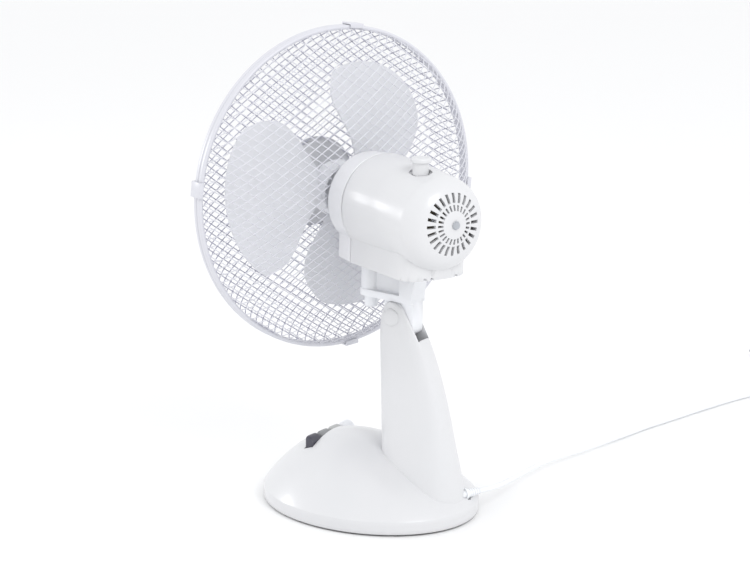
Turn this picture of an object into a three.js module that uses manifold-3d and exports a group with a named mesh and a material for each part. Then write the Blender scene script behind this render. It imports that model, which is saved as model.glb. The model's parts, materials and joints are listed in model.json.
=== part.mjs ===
// Desk fan: an oscillating fan on a sloping base with four keys, a tall column, a tilting neck and a
// mesh guard. Millimetres, +Z up, the guard faces -Y. The base stands on its feet at z = 0.
import * as THREE from 'three';
import { mergeVertices, mergeGeometries } from 'three/addons/utils/BufferGeometryUtils.js';
import Module from 'manifold-3d';

const wasm = await Module();
wasm.setup();

// ---------------------------------------------------------------- driving dimensions
const GAP = 0.3; // clearance between pieces that touch
const WALL = 2.6; // moulded plastic wall

// Where the swivel axis meets the floor: the object's outline is centred on the origin.
const SWIVEL_X = 21.3;
const SWIVEL_Y = 9.2;

// Base
const BASE_HALF_X = 96.9;
const BASE_HALF_Y = 121.3;
const BASE_CENTRE_Y = -14.7;
const BASE_RIM_Z = 15.3; // height of the side wall
const HUMP_Y = -39; // where the hump is highest
const HUMP_HEIGHT = 60.4; // above the side wall
const HUMP_POWER = 0.93; // higher falls away sooner
const FOOT_HEIGHT = 1.2;
const FOOT_RADIUS = 9;
const FOOT_SPREAD = [58, 78]; // to either side of the base's middle, along X and Y
const PLATE_THICKNESS = 2.5;

// Keys
const KEY_PITCH = 19.3;
const KEY_GAP = 0.8;
const KEY_LENGTH = 10;
const KEY_TRAVEL = 4;
const KEY_ROW = [-66.5, 62.3]; // middle of the row along Y, and its height
const KEY_DEPTH = 15; // from the row's height down to the keys' feet

// Tilt hinge
const PIVOT_Y = 22.2;
const PIVOT_Z = 210;
const PIVOT_RADIUS = 4;
const TILT = THREE.MathUtils.degToRad(1.84); // the head looks up a little
const TONGUE_HALF = 9;
const SLOT_RADIUS = 38;
const SLOT_FRONT_Y = 7.4; // the wall left in front of the fork
const BOLT_HEAD_RADIUS = 7.5;
const RECESS_RADIUS = 8.2;
const RECESS_DEPTH = 2.6;
const CAP_RADIUS = 9.2;
const CAP_THICKNESS = 1.6;

const COLUMN_HALF = 15; // half width at the fork

// Column: height, half width, front and rear of its section, highest first
const COLUMN_STATIONS = [
  [PIVOT_Z + 15.5, 14.6, 18.2, 26.2],
  [PIVOT_Z + 13, 14.8, 12.8, 32],
  [PIVOT_Z + 4, COLUMN_HALF, 7, 38.5],
  [PIVOT_Z - 10, COLUMN_HALF, 4, 47],
  [PIVOT_Z - 33, COLUMN_HALF, 3.1, 59.5],
  [PIVOT_Z - 65, 17.5, 4, 71],
  [PIVOT_Z - 100, 20.5, 5.3, 80.5],
  [74, 25, 7, 88],
  [45, 30, 9, 94],
  [15, 35, 10, 99],
];
const COLUMN_SQUARENESS = [2.3, 3.4]; // at the foot and at the fork: 2 is an ellipse
const SQUARE_FROM_Z = PIVOT_Z - 33;
const COLUMN_HOLLOW_TOP = PIVOT_Z - 50;
const BOSS_RADIUS = 6.5;
const BOSS_TOP = 80;
const COLUMN_SCREW_Y = [30, 72];
const SCREW_HEAD = 4.2;

// Neck, measured from the tilt hinge
const SWIVEL_FORWARD = 35.5;
const PLATFORM_BOTTOM = 16;
const PLATFORM_TOP = 23;
const NECK_HALF = 12;
const BOSS_OUTER = 11;
const NECK_REAR = 22.5;
const REAR_POST = [7, 29.7];
const HEAD_HEIGHT = 115; // fan axis above the tilt hinge
const LINK_PIN_ARM = 17; // link pin to swivel axis
const PIN_RADIUS = 2.5;
const SWIVEL_PIN_RADIUS = 4.5;

// Head, measured from where the fan axis crosses the swivel axis
const YAW = THREE.MathUtils.degToRad(-18.95); // where the head has swung to
const RIM_RADIUS = 170;
const RIM_Y = -65.5;
const RIM_WIDTH = 13;
const RIM_THICKNESS = 4.5;
const CLIP_TURNS = [-5, 85, 186, 266]; // degrees round the rim from its top
const GUARD_EDGE = RIM_RADIUS - RIM_THICKNESS - 3 * GAP;
const GUARD_THICKNESS = 2;
const MESH_WIDE = 60; // the fine mesh at about four times its real pitch
const MESH_HIGH = 40;
const MESH_BAR = 6;
const FRONT_Y = -14; // front face of the motor housing
const SEAM_Y = 14.7; // where its two covers meet
const SEAM_RADIUS = 50.7;
const FRONT_RADIUS = SEAM_RADIUS - 2.8;
const SKIRT_FRONT_HALF = 33;
const SKIRT_HALF = SEAM_RADIUS - 12.2;
const SKIRT_Z = -SEAM_RADIUS - 7.3;
const SKIRT_REAR_Y = 116;
const SKIRT_CORNER = 22;
const REAR_BEND_Y = 107; // where the rear cover starts to round off
const REAR_BEND = 25;
const REAR_DOME = 4;
const REAR_TAPER = 3; // radius lost between the seam and the bend
const REAR_DROP = 3.5; // how far the rear end sinks below the fan axis
const SLOT_COUNT = 24;
const SLOT_INNER = 19.5;
const SLOT_OUTER = 30.5;
const SLOT_WIDTH = 2.6;
const SCALLOP_COUNT = 6;
const SCALLOP_PITCH = 7.6;
const FLOOR_OPENING = 24.5;
const SHAFT_RADIUS = 4;
const BUSH_RADIUS = 7;
const STACK = [24, 50]; // stator and rotor laminations
const STATOR_RADIUS = 40;
const ROTOR_RADIUS = 20.5;
const WINDING_DEPTH = 8;
const FRONT_BRACKET_Y = 8;
const REAR_BRACKET_Y = 61;
const BRACKET_RADIUS = 43;
const CASE_Y = [66, 104];
const CASE_X = [-16, 22];
const CASE_Z = [-24, 18];
const SPINDLE_X = 10;
const SPINDLE_Y = 90;
const CRANK_Y = 80;
const CRANK_ARM = 11;
const LINK_LENGTH = 63;
const LINK_TOP = -46.8;
const LINK_THICKNESS = 2.4;
const KNOB_RADIUS = 8;
const KNOB_CAP_RADIUS = 10.5;
const HUB_RADIUS = 30;
const HUB_Y = [-74, -46];
const BLADE_REACH = 136;
const BLADE_COUNT = 3;
const BLADE_THICKNESS = 2.2;
const BLADE_TURN = THREE.MathUtils.degToRad(73);

// Cord
const CORD_RADIUS = 2.9;
const CORD_EXIT = new THREE.Vector3(-13, 92, 25.5);
const CORD_HEADING = new THREE.Vector3(-0.94, 0.34, 0).normalize();
const RELIEF_LENGTH = 22;
const COIL_CENTRE = new THREE.Vector3(-724, 168, 0);
const COIL_INNER = 24.5;
const COIL_OUTER = 43;
const COIL_HEIGHT = 12.2;
const CORD_POINTS = [
  [-35, 99.9, 25.4],
  [-42, 102.1, 25.1],
  [-54, 104.4, 24.3],
  [-70, 104.6, 22.9],
  [-92, 101.6, 20.6],
  [-118, 97.4, 18.1],
  [-152, 92.6, 15.1],
  [-191, 89.2, 11.9],
  [-224, 90.8, 9.4],
  [-254, 94, 7.2],
  [-284, 96.4, 5.4],
  [-318, 99.4, 4],
  [-352, 103.4, 3.2],
  [-388, 108.6, 3.1],
  [-424, 116, 3.1],
  [-457, 122.9, 3.1],
  [-490, 129.7, 3.1],
  [-524, 137.4, 3.1],
  [-557, 145.6, 3.1],
  [-590, 156.2, 3.1],
  [-622, 168.6, 3.1],
  [-652, 182.6, 3.1],
  [-681.5, 195.5, 3.1],
];

// ---------------------------------------------------------------- materials
const WHITE = { color: 0xeceef1, roughness: 0.38, metalness: 0 };
const GUARD_WHITE = { color: 0xe6e8ee, roughness: 0.42, metalness: 0 };
const BLADE_WHITE = { color: 0xe2e5ee, roughness: 0.3, metalness: 0 };
const STEEL = { color: 0xb9bcc0, roughness: 0.35, metalness: 1 };
const LAMINATED = { color: 0x6d7074, roughness: 0.55, metalness: 0.9 };
const COPPER = { color: 0xa9603a, roughness: 0.4, metalness: 0.8 };
const BRASS = { color: 0xb9924c, roughness: 0.4, metalness: 1 };
const ALUMINIUM = { color: 0xa8abad, roughness: 0.5, metalness: 1 };
const RUBBER = { color: 0x3a3b3d, roughness: 0.85, metalness: 0 };
const GEAR_PLASTIC = { color: 0xd8d4c4, roughness: 0.5, metalness: 0 };
const CORD_WHITE = { color: 0xe8e9ec, roughness: 0.5, metalness: 0 };
const KEY_COLOURS = [0xeceef1, 0xb4b7bd, 0x7c7f86, 0x4c4f57];

// ---------------------------------------------------------------- helpers
// One closed body with its faces pointing out and its corners shared.
function closed(geometry) {
  const plain = geometry.index ? geometry.toNonIndexed() : geometry.clone();
  for (const name of Object.keys(plain.attributes)) {
    if (name !== 'position') plain.deleteAttribute(name);
  }
  const merged = mergeVertices(plain, 1e-4);
  const at = merged.attributes.position;
  const corner = [new THREE.Vector3(), new THREE.Vector3(), new THREE.Vector3()];
  const kept = [];
  let volume = 0;
  for (let i = 0; i < merged.index.count; i += 3) {
    const ids = [0, 1, 2].map((k) => merged.index.getX(i + k));
    if (new Set(ids).size < 3) continue;
    ids.forEach((id, k) => corner[k].fromBufferAttribute(at, id));
    volume += corner[0].dot(corner[1].clone().cross(corner[2]));
    kept.push(...ids);
  }
  if (volume < 0) kept.reverse();
  merged.setIndex(kept);
  return merged;
}

function solid(geometry) {
  const shell = closed(geometry);
  const mesh = new wasm.Mesh({
    numProp: 3,
    vertProperties: Float32Array.from(shell.attributes.position.array),
    triVerts: Uint32Array.from(shell.index.array),
  });
  return new wasm.Manifold(mesh);
}

function geometryOf(body) {
  const mesh = body.getMesh();
  const geometry = new THREE.BufferGeometry();
  geometry.setAttribute('position', new THREE.BufferAttribute(mesh.vertProperties, 3));
  geometry.setIndex(new THREE.BufferAttribute(mesh.triVerts, 1));
  return geometry;
}

function cut(geometry, ...tools) {
  return geometryOf(tools.reduce((body, tool) => body.subtract(solid(tool)), solid(geometry)));
}

function join(geometry, ...others) {
  return geometryOf(others.reduce((body, other) => body.add(solid(other)), solid(geometry)));
}

function common(geometry, other) {
  return geometryOf(solid(geometry).intersect(solid(other)));
}

// Moves every corner of a geometry by a rule.
function reshape(geometry, rule) {
  const at = geometry.attributes.position;
  const point = new THREE.Vector3();
  for (let i = 0; i < at.count; i += 1) {
    point.fromBufferAttribute(at, i);
    rule(point);
    at.setXYZ(i, point.x, point.y, point.z);
  }
  return geometry;
}

// A body turned about the Y axis from [radius, y] points.
function turned(points, segments = 20) {
  return new THREE.LatheGeometry(points.map(([r, y]) => new THREE.Vector2(r, y)), segments);
}

// The same about the Z axis from [radius, z] points.
function upright(points, segments = 20) {
  return turned(points, segments).rotateX(Math.PI / 2);
}

// A ring or tube of rectangular section about Y, from inner to outer radius.
function ringAlongY(inner, outer, low, high, segments = 16) {
  return turned([[inner, low], [outer, low], [outer, high], [inner, high], [inner, low]], segments);
}

function rod(radius, low, high, segments = 14) {
  return turned([[0, low], [radius, low], [radius, high], [0, high]], segments);
}

function uprightRod(radius, low, high, segments = 14) {
  return rod(radius, low, high, segments).rotateX(Math.PI / 2);
}

function crosswiseRod(radius, low, high, segments = 14) {
  return rod(radius, low, high, segments).rotateZ(-Math.PI / 2);
}

function block(x, y, z) {
  const size = [x, y, z].map(([low, high]) => high - low);
  return new THREE.BoxGeometry(...size).translate(...[x, y, z].map(([low, high]) => (low + high) / 2));
}

// A flat outline given in X and Y, raised from one height to another.
function raised(shape, low, high) {
  const options = { depth: high - low, bevelEnabled: false, curveSegments: 5 };
  return new THREE.ExtrudeGeometry(shape, options).translate(0, 0, low);
}

// A side outline given in Y and Z, spread across X.
function across(shape, low, high) {
  return raised(shape, low, high).rotateY(Math.PI / 2).rotateX(Math.PI / 2);
}

// An even skin along a line of [radius, y] points, as a closed outline.
function skin(points, thickness) {
  const inner = points.map(([r, y], i) => {
    const before = points[Math.max(i - 1, 0)];
    const after = points[Math.min(i + 1, points.length - 1)];
    const along = new THREE.Vector2(after[0] - before[0], after[1] - before[1]).normalize();
    return [r - along.y * thickness, y + along.x * thickness];
  });
  return [...points, ...inner.reverse(), points[0]];
}

function piece(name, geometry, look) {
  const mesh = new THREE.Mesh(closed(geometry), new THREE.MeshStandardMaterial(look));
  mesh.name = name;
  return mesh;
}

const fan = new THREE.Group();
fan.position.set(SWIVEL_X, SWIVEL_Y, 0);

// ---------------------------------------------------------------- base
// The hump's height above the side wall, from 0 at its top to 1 at the edge of the base.
function humpHeight(share) {
  return HUMP_HEIGHT * (1 - share * share) ** HUMP_POWER;
}

// The base's outer form, shrunk by an inset: a domed body on an oval, with its top over HUMP_Y.
function baseForm(inset, bottom) {
  const steps = 7;
  const points = [[0, bottom], [1, bottom]];
  for (let i = steps; i >= 0; i -= 1) {
    const share = Math.sin((i / steps) * (Math.PI / 2));
    points.push([share, BASE_RIM_Z + humpHeight(share)]);
  }
  return reshape(upright(points, 32), (p) => {
    const share = Math.hypot(p.x, p.y);
    p.x *= BASE_HALF_X - inset;
    p.y *= BASE_HALF_Y - inset;
    p.y += BASE_CENTRE_Y + (HUMP_Y - BASE_CENTRE_Y) * (1 - share);
    if (p.z > bottom) p.z -= inset;
  });
}

const keyFrame = new THREE.Matrix4().setPosition(0, ...KEY_ROW);
const keyRowHalf = KEY_PITCH * 2;

// The hole the cord's strain relief sits in.
function cordExitHole() {
  const along = new THREE.Quaternion().setFromUnitVectors(new THREE.Vector3(0, 1, 0), CORD_HEADING);
  const hole = join(rod(5.2, -14, 32, 12), rod(7.2, 3.2, 9, 16));
  return hole.applyQuaternion(along).translate(...CORD_EXIT.toArray());
}

function baseShell() {
  const keyWindow = block(
    [-keyRowHalf - KEY_GAP, keyRowHalf + KEY_GAP],
    [-KEY_LENGTH / 2 - KEY_GAP, KEY_LENGTH / 2 + KEY_GAP],
    [-30, 30],
  ).applyMatrix4(keyFrame);
  const wireHole = uprightRod(9, 0, 120).translate(0, 50, 0);
  const screwHoles = COLUMN_SCREW_Y.map((y) => uprightRod(2.6, 0, 120, 12).translate(0, y, 0));
  return cut(baseForm(0, FOOT_HEIGHT), baseForm(WALL, 0), keyWindow, wireHole, cordExitHole(), ...screwHoles);
}

function basePlate() {
  const layer = block([-200, 200], [-200, 200], [FOOT_HEIGHT, FOOT_HEIGHT + PLATE_THICKNESS]);
  return common(baseForm(WALL + GAP, 0), layer);
}

function footPad() {
  const stem = FOOT_HEIGHT - GAP;
  return upright([[0, 0], [FOOT_RADIUS - 1, 0], [FOOT_RADIUS, 0.8], [FOOT_RADIUS, stem], [0, stem]], 16);
}

// A key: its front stands tall and its top falls away to the rear.
function keyCap() {
  const side = new THREE.Shape();
  const half = KEY_LENGTH / 2;
  side.moveTo(-half, -KEY_DEPTH);
  side.lineTo(half, -KEY_DEPTH);
  side.lineTo(half, 4);
  side.quadraticCurveTo(half - 3, 8.6, -half + 2.5, 9.4);
  side.quadraticCurveTo(-half, 9.6, -half, 7.4);
  side.lineTo(-half, -KEY_DEPTH);
  const halfWidth = (KEY_PITCH - KEY_GAP) / 2;
  return across(side, -halfWidth, halfWidth);
}

function switchBody() {
  const reach = keyRowHalf + KEY_GAP + GAP;
  const tray = cut(
    block([-reach - 4, reach + 4], [-12, 12], [-KEY_DEPTH - KEY_TRAVEL - 8, 30]),
    block([-reach, reach], [-40, 40], [-KEY_DEPTH - KEY_TRAVEL - GAP, 60]),
  ).applyMatrix4(keyFrame);
  return common(tray, baseForm(WALL + GAP, FOOT_HEIGHT + PLATE_THICKNESS + GAP));
}

function columnForm(inset, top) {
  const stations = COLUMN_STATIONS.filter(([z]) => z <= top);
  const points = [[0, 0], ...stations.map((_, i) => [1, i]), [0, stations.length - 1]];
  return reshape(upright(points, 20), (p) => {
    const [z, half, front, rear] = stations[Math.round(p.z)];
    const angle = Math.atan2(p.y, p.x);
    const share = Math.hypot(p.x, p.y) < 0.5 ? 0 : 1;
    const squareness = THREE.MathUtils.lerp(...COLUMN_SQUARENESS, Math.min(z / SQUARE_FROM_Z, 1));
    const squared = (value) => Math.sign(value) * Math.abs(value) ** (2 / squareness);
    p.x = share * (half - inset) * squared(Math.cos(angle));
    p.y = (front + rear) / 2 + share * ((rear - front) / 2 - inset) * squared(Math.sin(angle));
    p.z = z;
  });
}

function column() {
  const bosses = COLUMN_SCREW_Y.map((y) => uprightRod(BOSS_RADIUS, 16, BOSS_TOP, 16).translate(0, y, 0));
  const pilots = COLUMN_SCREW_Y.map((y) => uprightRod(2.2, 16, BOSS_TOP, 12).translate(0, y, 0));
  const slot = common(
    crosswiseRod(SLOT_RADIUS, -TONGUE_HALF - GAP, TONGUE_HALF + GAP, 28).translate(0, PIVOT_Y, PIVOT_Z),
    block([-20, 20], [SLOT_FRONT_Y, 90], [PIVOT_Z - 60, PIVOT_Z + 50]),
  );
  const recesses = [-1, 1].map((side) => crosswiseRod(RECESS_RADIUS, COLUMN_HALF - RECESS_DEPTH, COLUMN_HALF + 3)
    .scale(side, 1, 1).translate(0, PIVOT_Y, PIVOT_Z));
  const bore = crosswiseRod(PIVOT_RADIUS + GAP, -20, 20).translate(0, PIVOT_Y, PIVOT_Z);
  const hollow = columnForm(WALL, COLUMN_HOLLOW_TOP);
  const web = common(block([-WALL / 2, WALL / 2], [0, 120], [0, BOSS_TOP]), columnForm(WALL / 2, COLUMN_HOLLOW_TOP));
  const body = join(cut(columnForm(0, 999), hollow), web, ...bosses);
  const seat = baseForm(-GAP, -10);
  return cut(body, ...pilots, seat, cordExitHole(), slot, ...recesses, bore);
}

// The base's top surface on the centre line, at one place along Y.
function baseTopAt(y) {
  let share = 0;
  const reach = (s) => BASE_HALF_Y * s + BASE_CENTRE_Y + (HUMP_Y - BASE_CENTRE_Y) * (1 - s);
  while (reach(share) < y) share += 0.001;
  return BASE_RIM_Z + humpHeight(share);
}

function columnScrew(y) {
  const seat = baseTopAt(y + SCREW_HEAD) - WALL - 1.4;
  const head = [[0, seat - 3], [SCREW_HEAD, seat - 3], [SCREW_HEAD, seat], [1.9, seat], [1.9, seat + 13], [0, seat + 13]];
  return upright(head, 16).translate(0, y, 0);
}

const base = new THREE.Group();
fan.add(base);
base.add(piece('base_shell', baseShell(), WHITE));
base.add(piece('base_plate', basePlate(), WHITE));
[[-1, -1], [1, -1], [1, 1], [-1, 1]].forEach(([sideX, sideY], i) => {
  const foot = piece(`foot_${i + 1}`, footPad(), RUBBER);
  foot.position.set(sideX * FOOT_SPREAD[0], BASE_CENTRE_Y + sideY * FOOT_SPREAD[1], 0);
  base.add(foot);
});
KEY_COLOURS.forEach((color, i) => {
  const centre = keyRowHalf - KEY_PITCH / 2 - KEY_PITCH * (KEY_COLOURS.length - 1 - i);
  const cap = keyCap().translate(centre, 0, 0).applyMatrix4(keyFrame);
  base.add(piece(`key_${i}`, cap, { ...WHITE, color }));
});
base.add(piece('switch_body', switchBody(), GEAR_PLASTIC));
base.add(piece('column', column(), WHITE));
COLUMN_SCREW_Y.forEach((y, i) => base.add(piece(`column_screw_${i + 1}`, columnScrew(y), STEEL)));

// ---------------------------------------------------------------- tilt hinge hardware
const boltSeat = 15 - RECESS_DEPTH + GAP;
const boltHead = [[0, 15], [BOLT_HEAD_RADIUS, 15], [BOLT_HEAD_RADIUS, boltSeat], [PIVOT_RADIUS, boltSeat]];
const bolt = turned([...boltHead, [PIVOT_RADIUS, -13.5], [0, -13.5]], 24).rotateZ(-Math.PI / 2);
const nut = rod(BOLT_HEAD_RADIUS - 0.3, -15, -boltSeat, 6).rotateZ(-Math.PI / 2);
const nutBore = crosswiseRod(PIVOT_RADIUS + GAP, -20, 20);
const capSide = [[0, 0], [CAP_RADIUS, 0], [CAP_RADIUS, CAP_THICKNESS - 0.8], [CAP_RADIUS - 1, CAP_THICKNESS]];
const cap = turned([...capSide, [0, CAP_THICKNESS]], 20).translate(0, 15 + GAP, 0).rotateZ(-Math.PI / 2);
const hinge = new THREE.Group();
hinge.position.set(0, PIVOT_Y, PIVOT_Z);
hinge.add(piece('tilt_bolt', bolt, STEEL));
hinge.add(piece('tilt_nut', cut(nut, nutBore), STEEL));
hinge.add(piece('tilt_cap_right', cap, WHITE));
hinge.add(piece('tilt_cap_left', cap.clone().scale(-1, 1, 1), WHITE));
base.add(hinge);

// ---------------------------------------------------------------- neck
function neckBody() {
  const tongue = new THREE.Shape();
  tongue.moveTo(-12.6, PLATFORM_BOTTOM + 1);
  tongue.lineTo(-12.6, 0);
  tongue.absarc(0, 0, 12.6, Math.PI, 1.6 * Math.PI, false);
  tongue.lineTo(16, -18);
  tongue.quadraticCurveTo(22, -18, 23, -11);
  tongue.lineTo(NECK_REAR, PLATFORM_BOTTOM + 1);
  const platform = block([-NECK_HALF, NECK_HALF], [-SWIVEL_FORWARD, NECK_REAR], [PLATFORM_BOTTOM, PLATFORM_TOP]);
  const nose = uprightRod(NECK_HALF, PLATFORM_BOTTOM, PLATFORM_TOP, 24).translate(0, -SWIVEL_FORWARD, 0);
  const armTop = HEAD_HEIGHT - 53.6;
  const boss = uprightRod(BOSS_OUTER, PLATFORM_TOP - 1, armTop, 24).translate(0, -SWIVEL_FORWARD, 0);
  const arm = block([-5, 5], [-SWIVEL_FORWARD, LINK_PIN_ARM - SWIVEL_FORWARD], [armTop - 3.2, armTop]);
  const armEnd = uprightRod(5, armTop - 3.2, armTop, 14).translate(0, LINK_PIN_ARM - SWIVEL_FORWARD, 0);
  const postTop = HEAD_HEIGHT + SKIRT_Z - 1.2;
  const side = new THREE.Shape();
  side.moveTo(REAR_POST[0], PLATFORM_TOP - 1);
  side.lineTo(NECK_REAR, PLATFORM_TOP - 1);
  side.quadraticCurveTo(NECK_REAR + 1, postTop - 16, REAR_POST[1], postTop - 7);
  side.lineTo(REAR_POST[1], postTop);
  side.lineTo(REAR_POST[0], postTop);
  const post = across(side, -NECK_HALF, NECK_HALF);
  const web = block([-5, 5], [-SWIVEL_FORWARD, REAR_POST[0] + 1], [PLATFORM_TOP - 1, postTop]);
  const swivelBore = uprightRod(SWIVEL_PIN_RADIUS + GAP, 0, 90).translate(0, -SWIVEL_FORWARD, 0);
  const pivotBore = crosswiseRod(PIVOT_RADIUS + GAP, -20, 20);
  const linkBore = uprightRod(PIN_RADIUS, 0, 90, 16).translate(0, LINK_PIN_ARM - SWIVEL_FORWARD, 0);
  const body = join(across(tongue, -TONGUE_HALF, TONGUE_HALF), platform, nose, boss, arm, armEnd, post, web);
  const armOnly = common(linkBore, block([-9, 9], [-60, 30], [armTop - 3.3, armTop + 1]));
  return cut(body, swivelBore, pivotBore, armOnly);
}

const neck = new THREE.Group();
neck.position.set(0, PIVOT_Y, PIVOT_Z);
neck.rotation.x = -TILT;
fan.add(neck);
neck.add(piece('neck', neckBody(), WHITE));

const pinRadius = SWIVEL_PIN_RADIUS;
const swivel = new THREE.Group();
swivel.position.set(0, -SWIVEL_FORWARD, 0);
neck.add(swivel);
const nutTop = PLATFORM_BOTTOM - GAP;
const nutSide = [[pinRadius + GAP, 3], [6.4, 3], [7, 4], [7, nutTop], [pinRadius + GAP, nutTop]];
swivel.add(piece('swivel_collar', upright([...nutSide, nutSide[0]], 20), WHITE));
const linkPin = [[0, HEAD_HEIGHT - 57], [PIN_RADIUS - 0.3, HEAD_HEIGHT - 57], [PIN_RADIUS - 0.3, HEAD_HEIGHT - 49.7]];
const linkPost = upright([...linkPin, [0, HEAD_HEIGHT - 49.7]], 16).translate(0, LINK_PIN_ARM, 0);
swivel.add(piece('link_post', linkPost, STEEL));

// ---------------------------------------------------------------- head: housing
const head = new THREE.Group();
head.position.set(0, -SWIVEL_FORWARD, HEAD_HEIGHT);
head.rotation.z = YAW;
neck.add(head);

// The front cover's skirt in plan: it widens towards the seam.
function frontSkirt(inset, front, rear) {
  const halfAt = (y) => {
    const share = (y - FRONT_Y) / (SEAM_Y - FRONT_Y);
    return SKIRT_FRONT_HALF + (SKIRT_HALF - SKIRT_FRONT_HALF) * share - inset;
  };
  const plan = new THREE.Shape();
  plan.moveTo(-halfAt(front), front);
  plan.lineTo(halfAt(front), front);
  plan.lineTo(halfAt(rear), rear);
  plan.lineTo(-halfAt(rear), rear);
  return plan;
}

// The rear cover's skirt in plan: straight sides and two round corners behind.
function rearSkirt(inset, front) {
  const half = SKIRT_HALF - inset;
  const rear = SKIRT_REAR_Y - inset;
  const corner = SKIRT_CORNER - inset;
  const plan = new THREE.Shape();
  plan.moveTo(-half, front);
  plan.lineTo(half, front);
  plan.lineTo(half, rear - corner);
  plan.quadraticCurveTo(half, rear, half - corner, rear);
  plan.lineTo(corner - half, rear);
  plan.quadraticCurveTo(-half, rear, -half, rear - corner);
  return plan;
}

function frontForm(inset, front, rear) {
  const taper = (y) => FRONT_RADIUS + ((SEAM_RADIUS - FRONT_RADIUS) * (y - FRONT_Y)) / (SEAM_Y - FRONT_Y);
  const barrel = turned([[0, front], [taper(front) - inset, front], [taper(rear) - inset, rear], [0, rear]], 32);
  return join(barrel, raised(frontSkirt(inset, front, rear), SKIRT_Z + inset, -12));
}

function rearForm(inset, front) {
  const bendRadius = SEAM_RADIUS - REAR_TAPER;
  const points = [[0, front], [SEAM_RADIUS - inset, front]];
  for (const share of [0.5, 0.75, 1]) {
    points.push([SEAM_RADIUS - REAR_TAPER * share ** 2 - inset, SEAM_Y + (REAR_BEND_Y - SEAM_Y) * share]);
  }
  const bend = REAR_BEND - inset;
  const steps = 3;
  for (let i = 1; i <= steps; i += 1) {
    const angle = (i / steps) * (Math.PI / 2);
    points.push([bendRadius - REAR_BEND + bend * Math.cos(angle), REAR_BEND_Y + bend * Math.sin(angle)]);
  }
  points.push([12, REAR_BEND_Y + bend + REAR_DOME * 0.8], [0, REAR_BEND_Y + bend + REAR_DOME]);
  const skirt = raised(rearSkirt(inset, front), SKIRT_Z + inset, -12);
  const barrel = reshape(turned(points, 28), (p) => {
    const share = THREE.MathUtils.clamp((p.y - SEAM_Y) / (REAR_BEND_Y - SEAM_Y), 0, 1);
    p.z -= REAR_DROP * share ** 2;
  });
  return join(barrel, skirt);
}

const floorHole = uprightRod(FLOOR_OPENING, SKIRT_Z - 5, SKIRT_Z + 9, 28);

function frontCover() {
  const inner = frontForm(WALL, FRONT_Y + WALL, SEAM_Y + 5);
  const shaftHole = rod(BUSH_RADIUS + 1, -60, 60);
  return cut(frontForm(0, FRONT_Y, SEAM_Y - GAP / 2), inner, shaftHole, floorHole);
}

function rearCover() {
  const slots = [];
  for (let i = 0; i < SLOT_COUNT; i += 1) {
    const size = [SLOT_WIDTH, 40, SLOT_OUTER - SLOT_INNER];
    const slot = new THREE.BoxGeometry(...size).translate(0, 132, (SLOT_INNER + SLOT_OUTER) / 2);
    slots.push(slot.rotateY((i / SLOT_COUNT) * 2 * Math.PI));
  }
  const scallops = [];
  for (let i = 0; i < SCALLOP_COUNT; i += 1) {
    const x = (i - (SCALLOP_COUNT - 1) / 2) * SCALLOP_PITCH;
    scallops.push(rod(2.4, SKIRT_REAR_Y - 9, SKIRT_REAR_Y + 5, 6).translate(x, 0, SKIRT_Z + 1.6));
  }
  const knobHole = uprightRod(KNOB_RADIUS + 0.8, 20, SEAM_RADIUS + 20).translate(SPINDLE_X, SPINDLE_Y, 0);
  const knobRecess = uprightRod(KNOB_CAP_RADIUS + 1.5, SEAM_RADIUS - 7.7, SEAM_RADIUS + 20).translate(SPINDLE_X, SPINDLE_Y, 0);
  const knobWell = uprightRod(KNOB_CAP_RADIUS + 4, SEAM_RADIUS - 10.5, SEAM_RADIUS - 5.3).translate(SPINDLE_X, SPINDLE_Y, 0);
  const outer = rearForm(0, SEAM_Y + GAP / 2);
  const inner = rearForm(WALL, SEAM_Y - 5);
  const shell = join(cut(outer, inner), common(knobWell, outer));
  const screwHole = rod(2.6, 120, 150, 12);
  return cut(shell, mergeGeometries(slots), mergeGeometries(scallops), knobRecess, knobHole, screwHole, floorHole);
}

head.add(piece('motor_front_cover', frontCover(), WHITE));
head.add(piece('motor_rear_cover', rearCover(), WHITE));
const rearEnd = REAR_BEND_Y + REAR_BEND + REAR_DOME;
const rearScrew = [[0, rearEnd - 14], [2.2, rearEnd - 14], [2.2, rearEnd + GAP], [4.4, rearEnd + GAP], [3.6, rearEnd + 1.9]];
head.add(piece('rear_cover_screw', turned([...rearScrew, [0, rearEnd + 1.9]], 16), STEEL));

// ---------------------------------------------------------------- head: motor and gearbox
head.add(piece('stator_core', ringAlongY(ROTOR_RADIUS + 0.6, STATOR_RADIUS, ...STACK, 20), LAMINATED));
const windingEnds = [STACK[0] - GAP - WINDING_DEPTH, STACK[1] + GAP];
windingEnds.forEach((low, i) => {
  const high = low + WINDING_DEPTH;
  const loop = [[25, low + 2], [27, low], [35, low], [37, low + 2], [37, high], [25, high], [25, low + 2]];
  head.add(piece(`stator_winding_${i + 1}`, turned(loop, 14), COPPER));
});
const brackets = [['front', FRONT_BRACKET_Y], ['rear', REAR_BRACKET_Y]];
brackets.forEach(([end, y]) => {
  head.add(piece(`${end}_bracket`, ringAlongY(BUSH_RADIUS + GAP, BRACKET_RADIUS, y, y + 3, 20), ALUMINIUM));
  head.add(piece(`${end}_bush`, ringAlongY(SHAFT_RADIUS + GAP, BUSH_RADIUS, y - 3, y + 4.5, 12), BRASS));
});

function gearCase() {
  const outer = block(CASE_X, CASE_Y, CASE_Z);
  const room = block([CASE_X[0] + WALL, CASE_X[1] - WALL], [CASE_Y[0] + WALL, CASE_Y[1] + 5], [CASE_Z[0] + WALL, 15]);
  const shaftHole = rod(SHAFT_RADIUS + 1, 60, 80);
  const rodHole = uprightRod(2.8, 10, 30, 12).translate(SPINDLE_X, SPINDLE_Y, 0);
  const crankHole = uprightRod(3.6, -40, -10, 16).translate(0, CRANK_Y, 0);
  return cut(outer, room, shaftHole, rodHole, crankHole);
}

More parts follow.
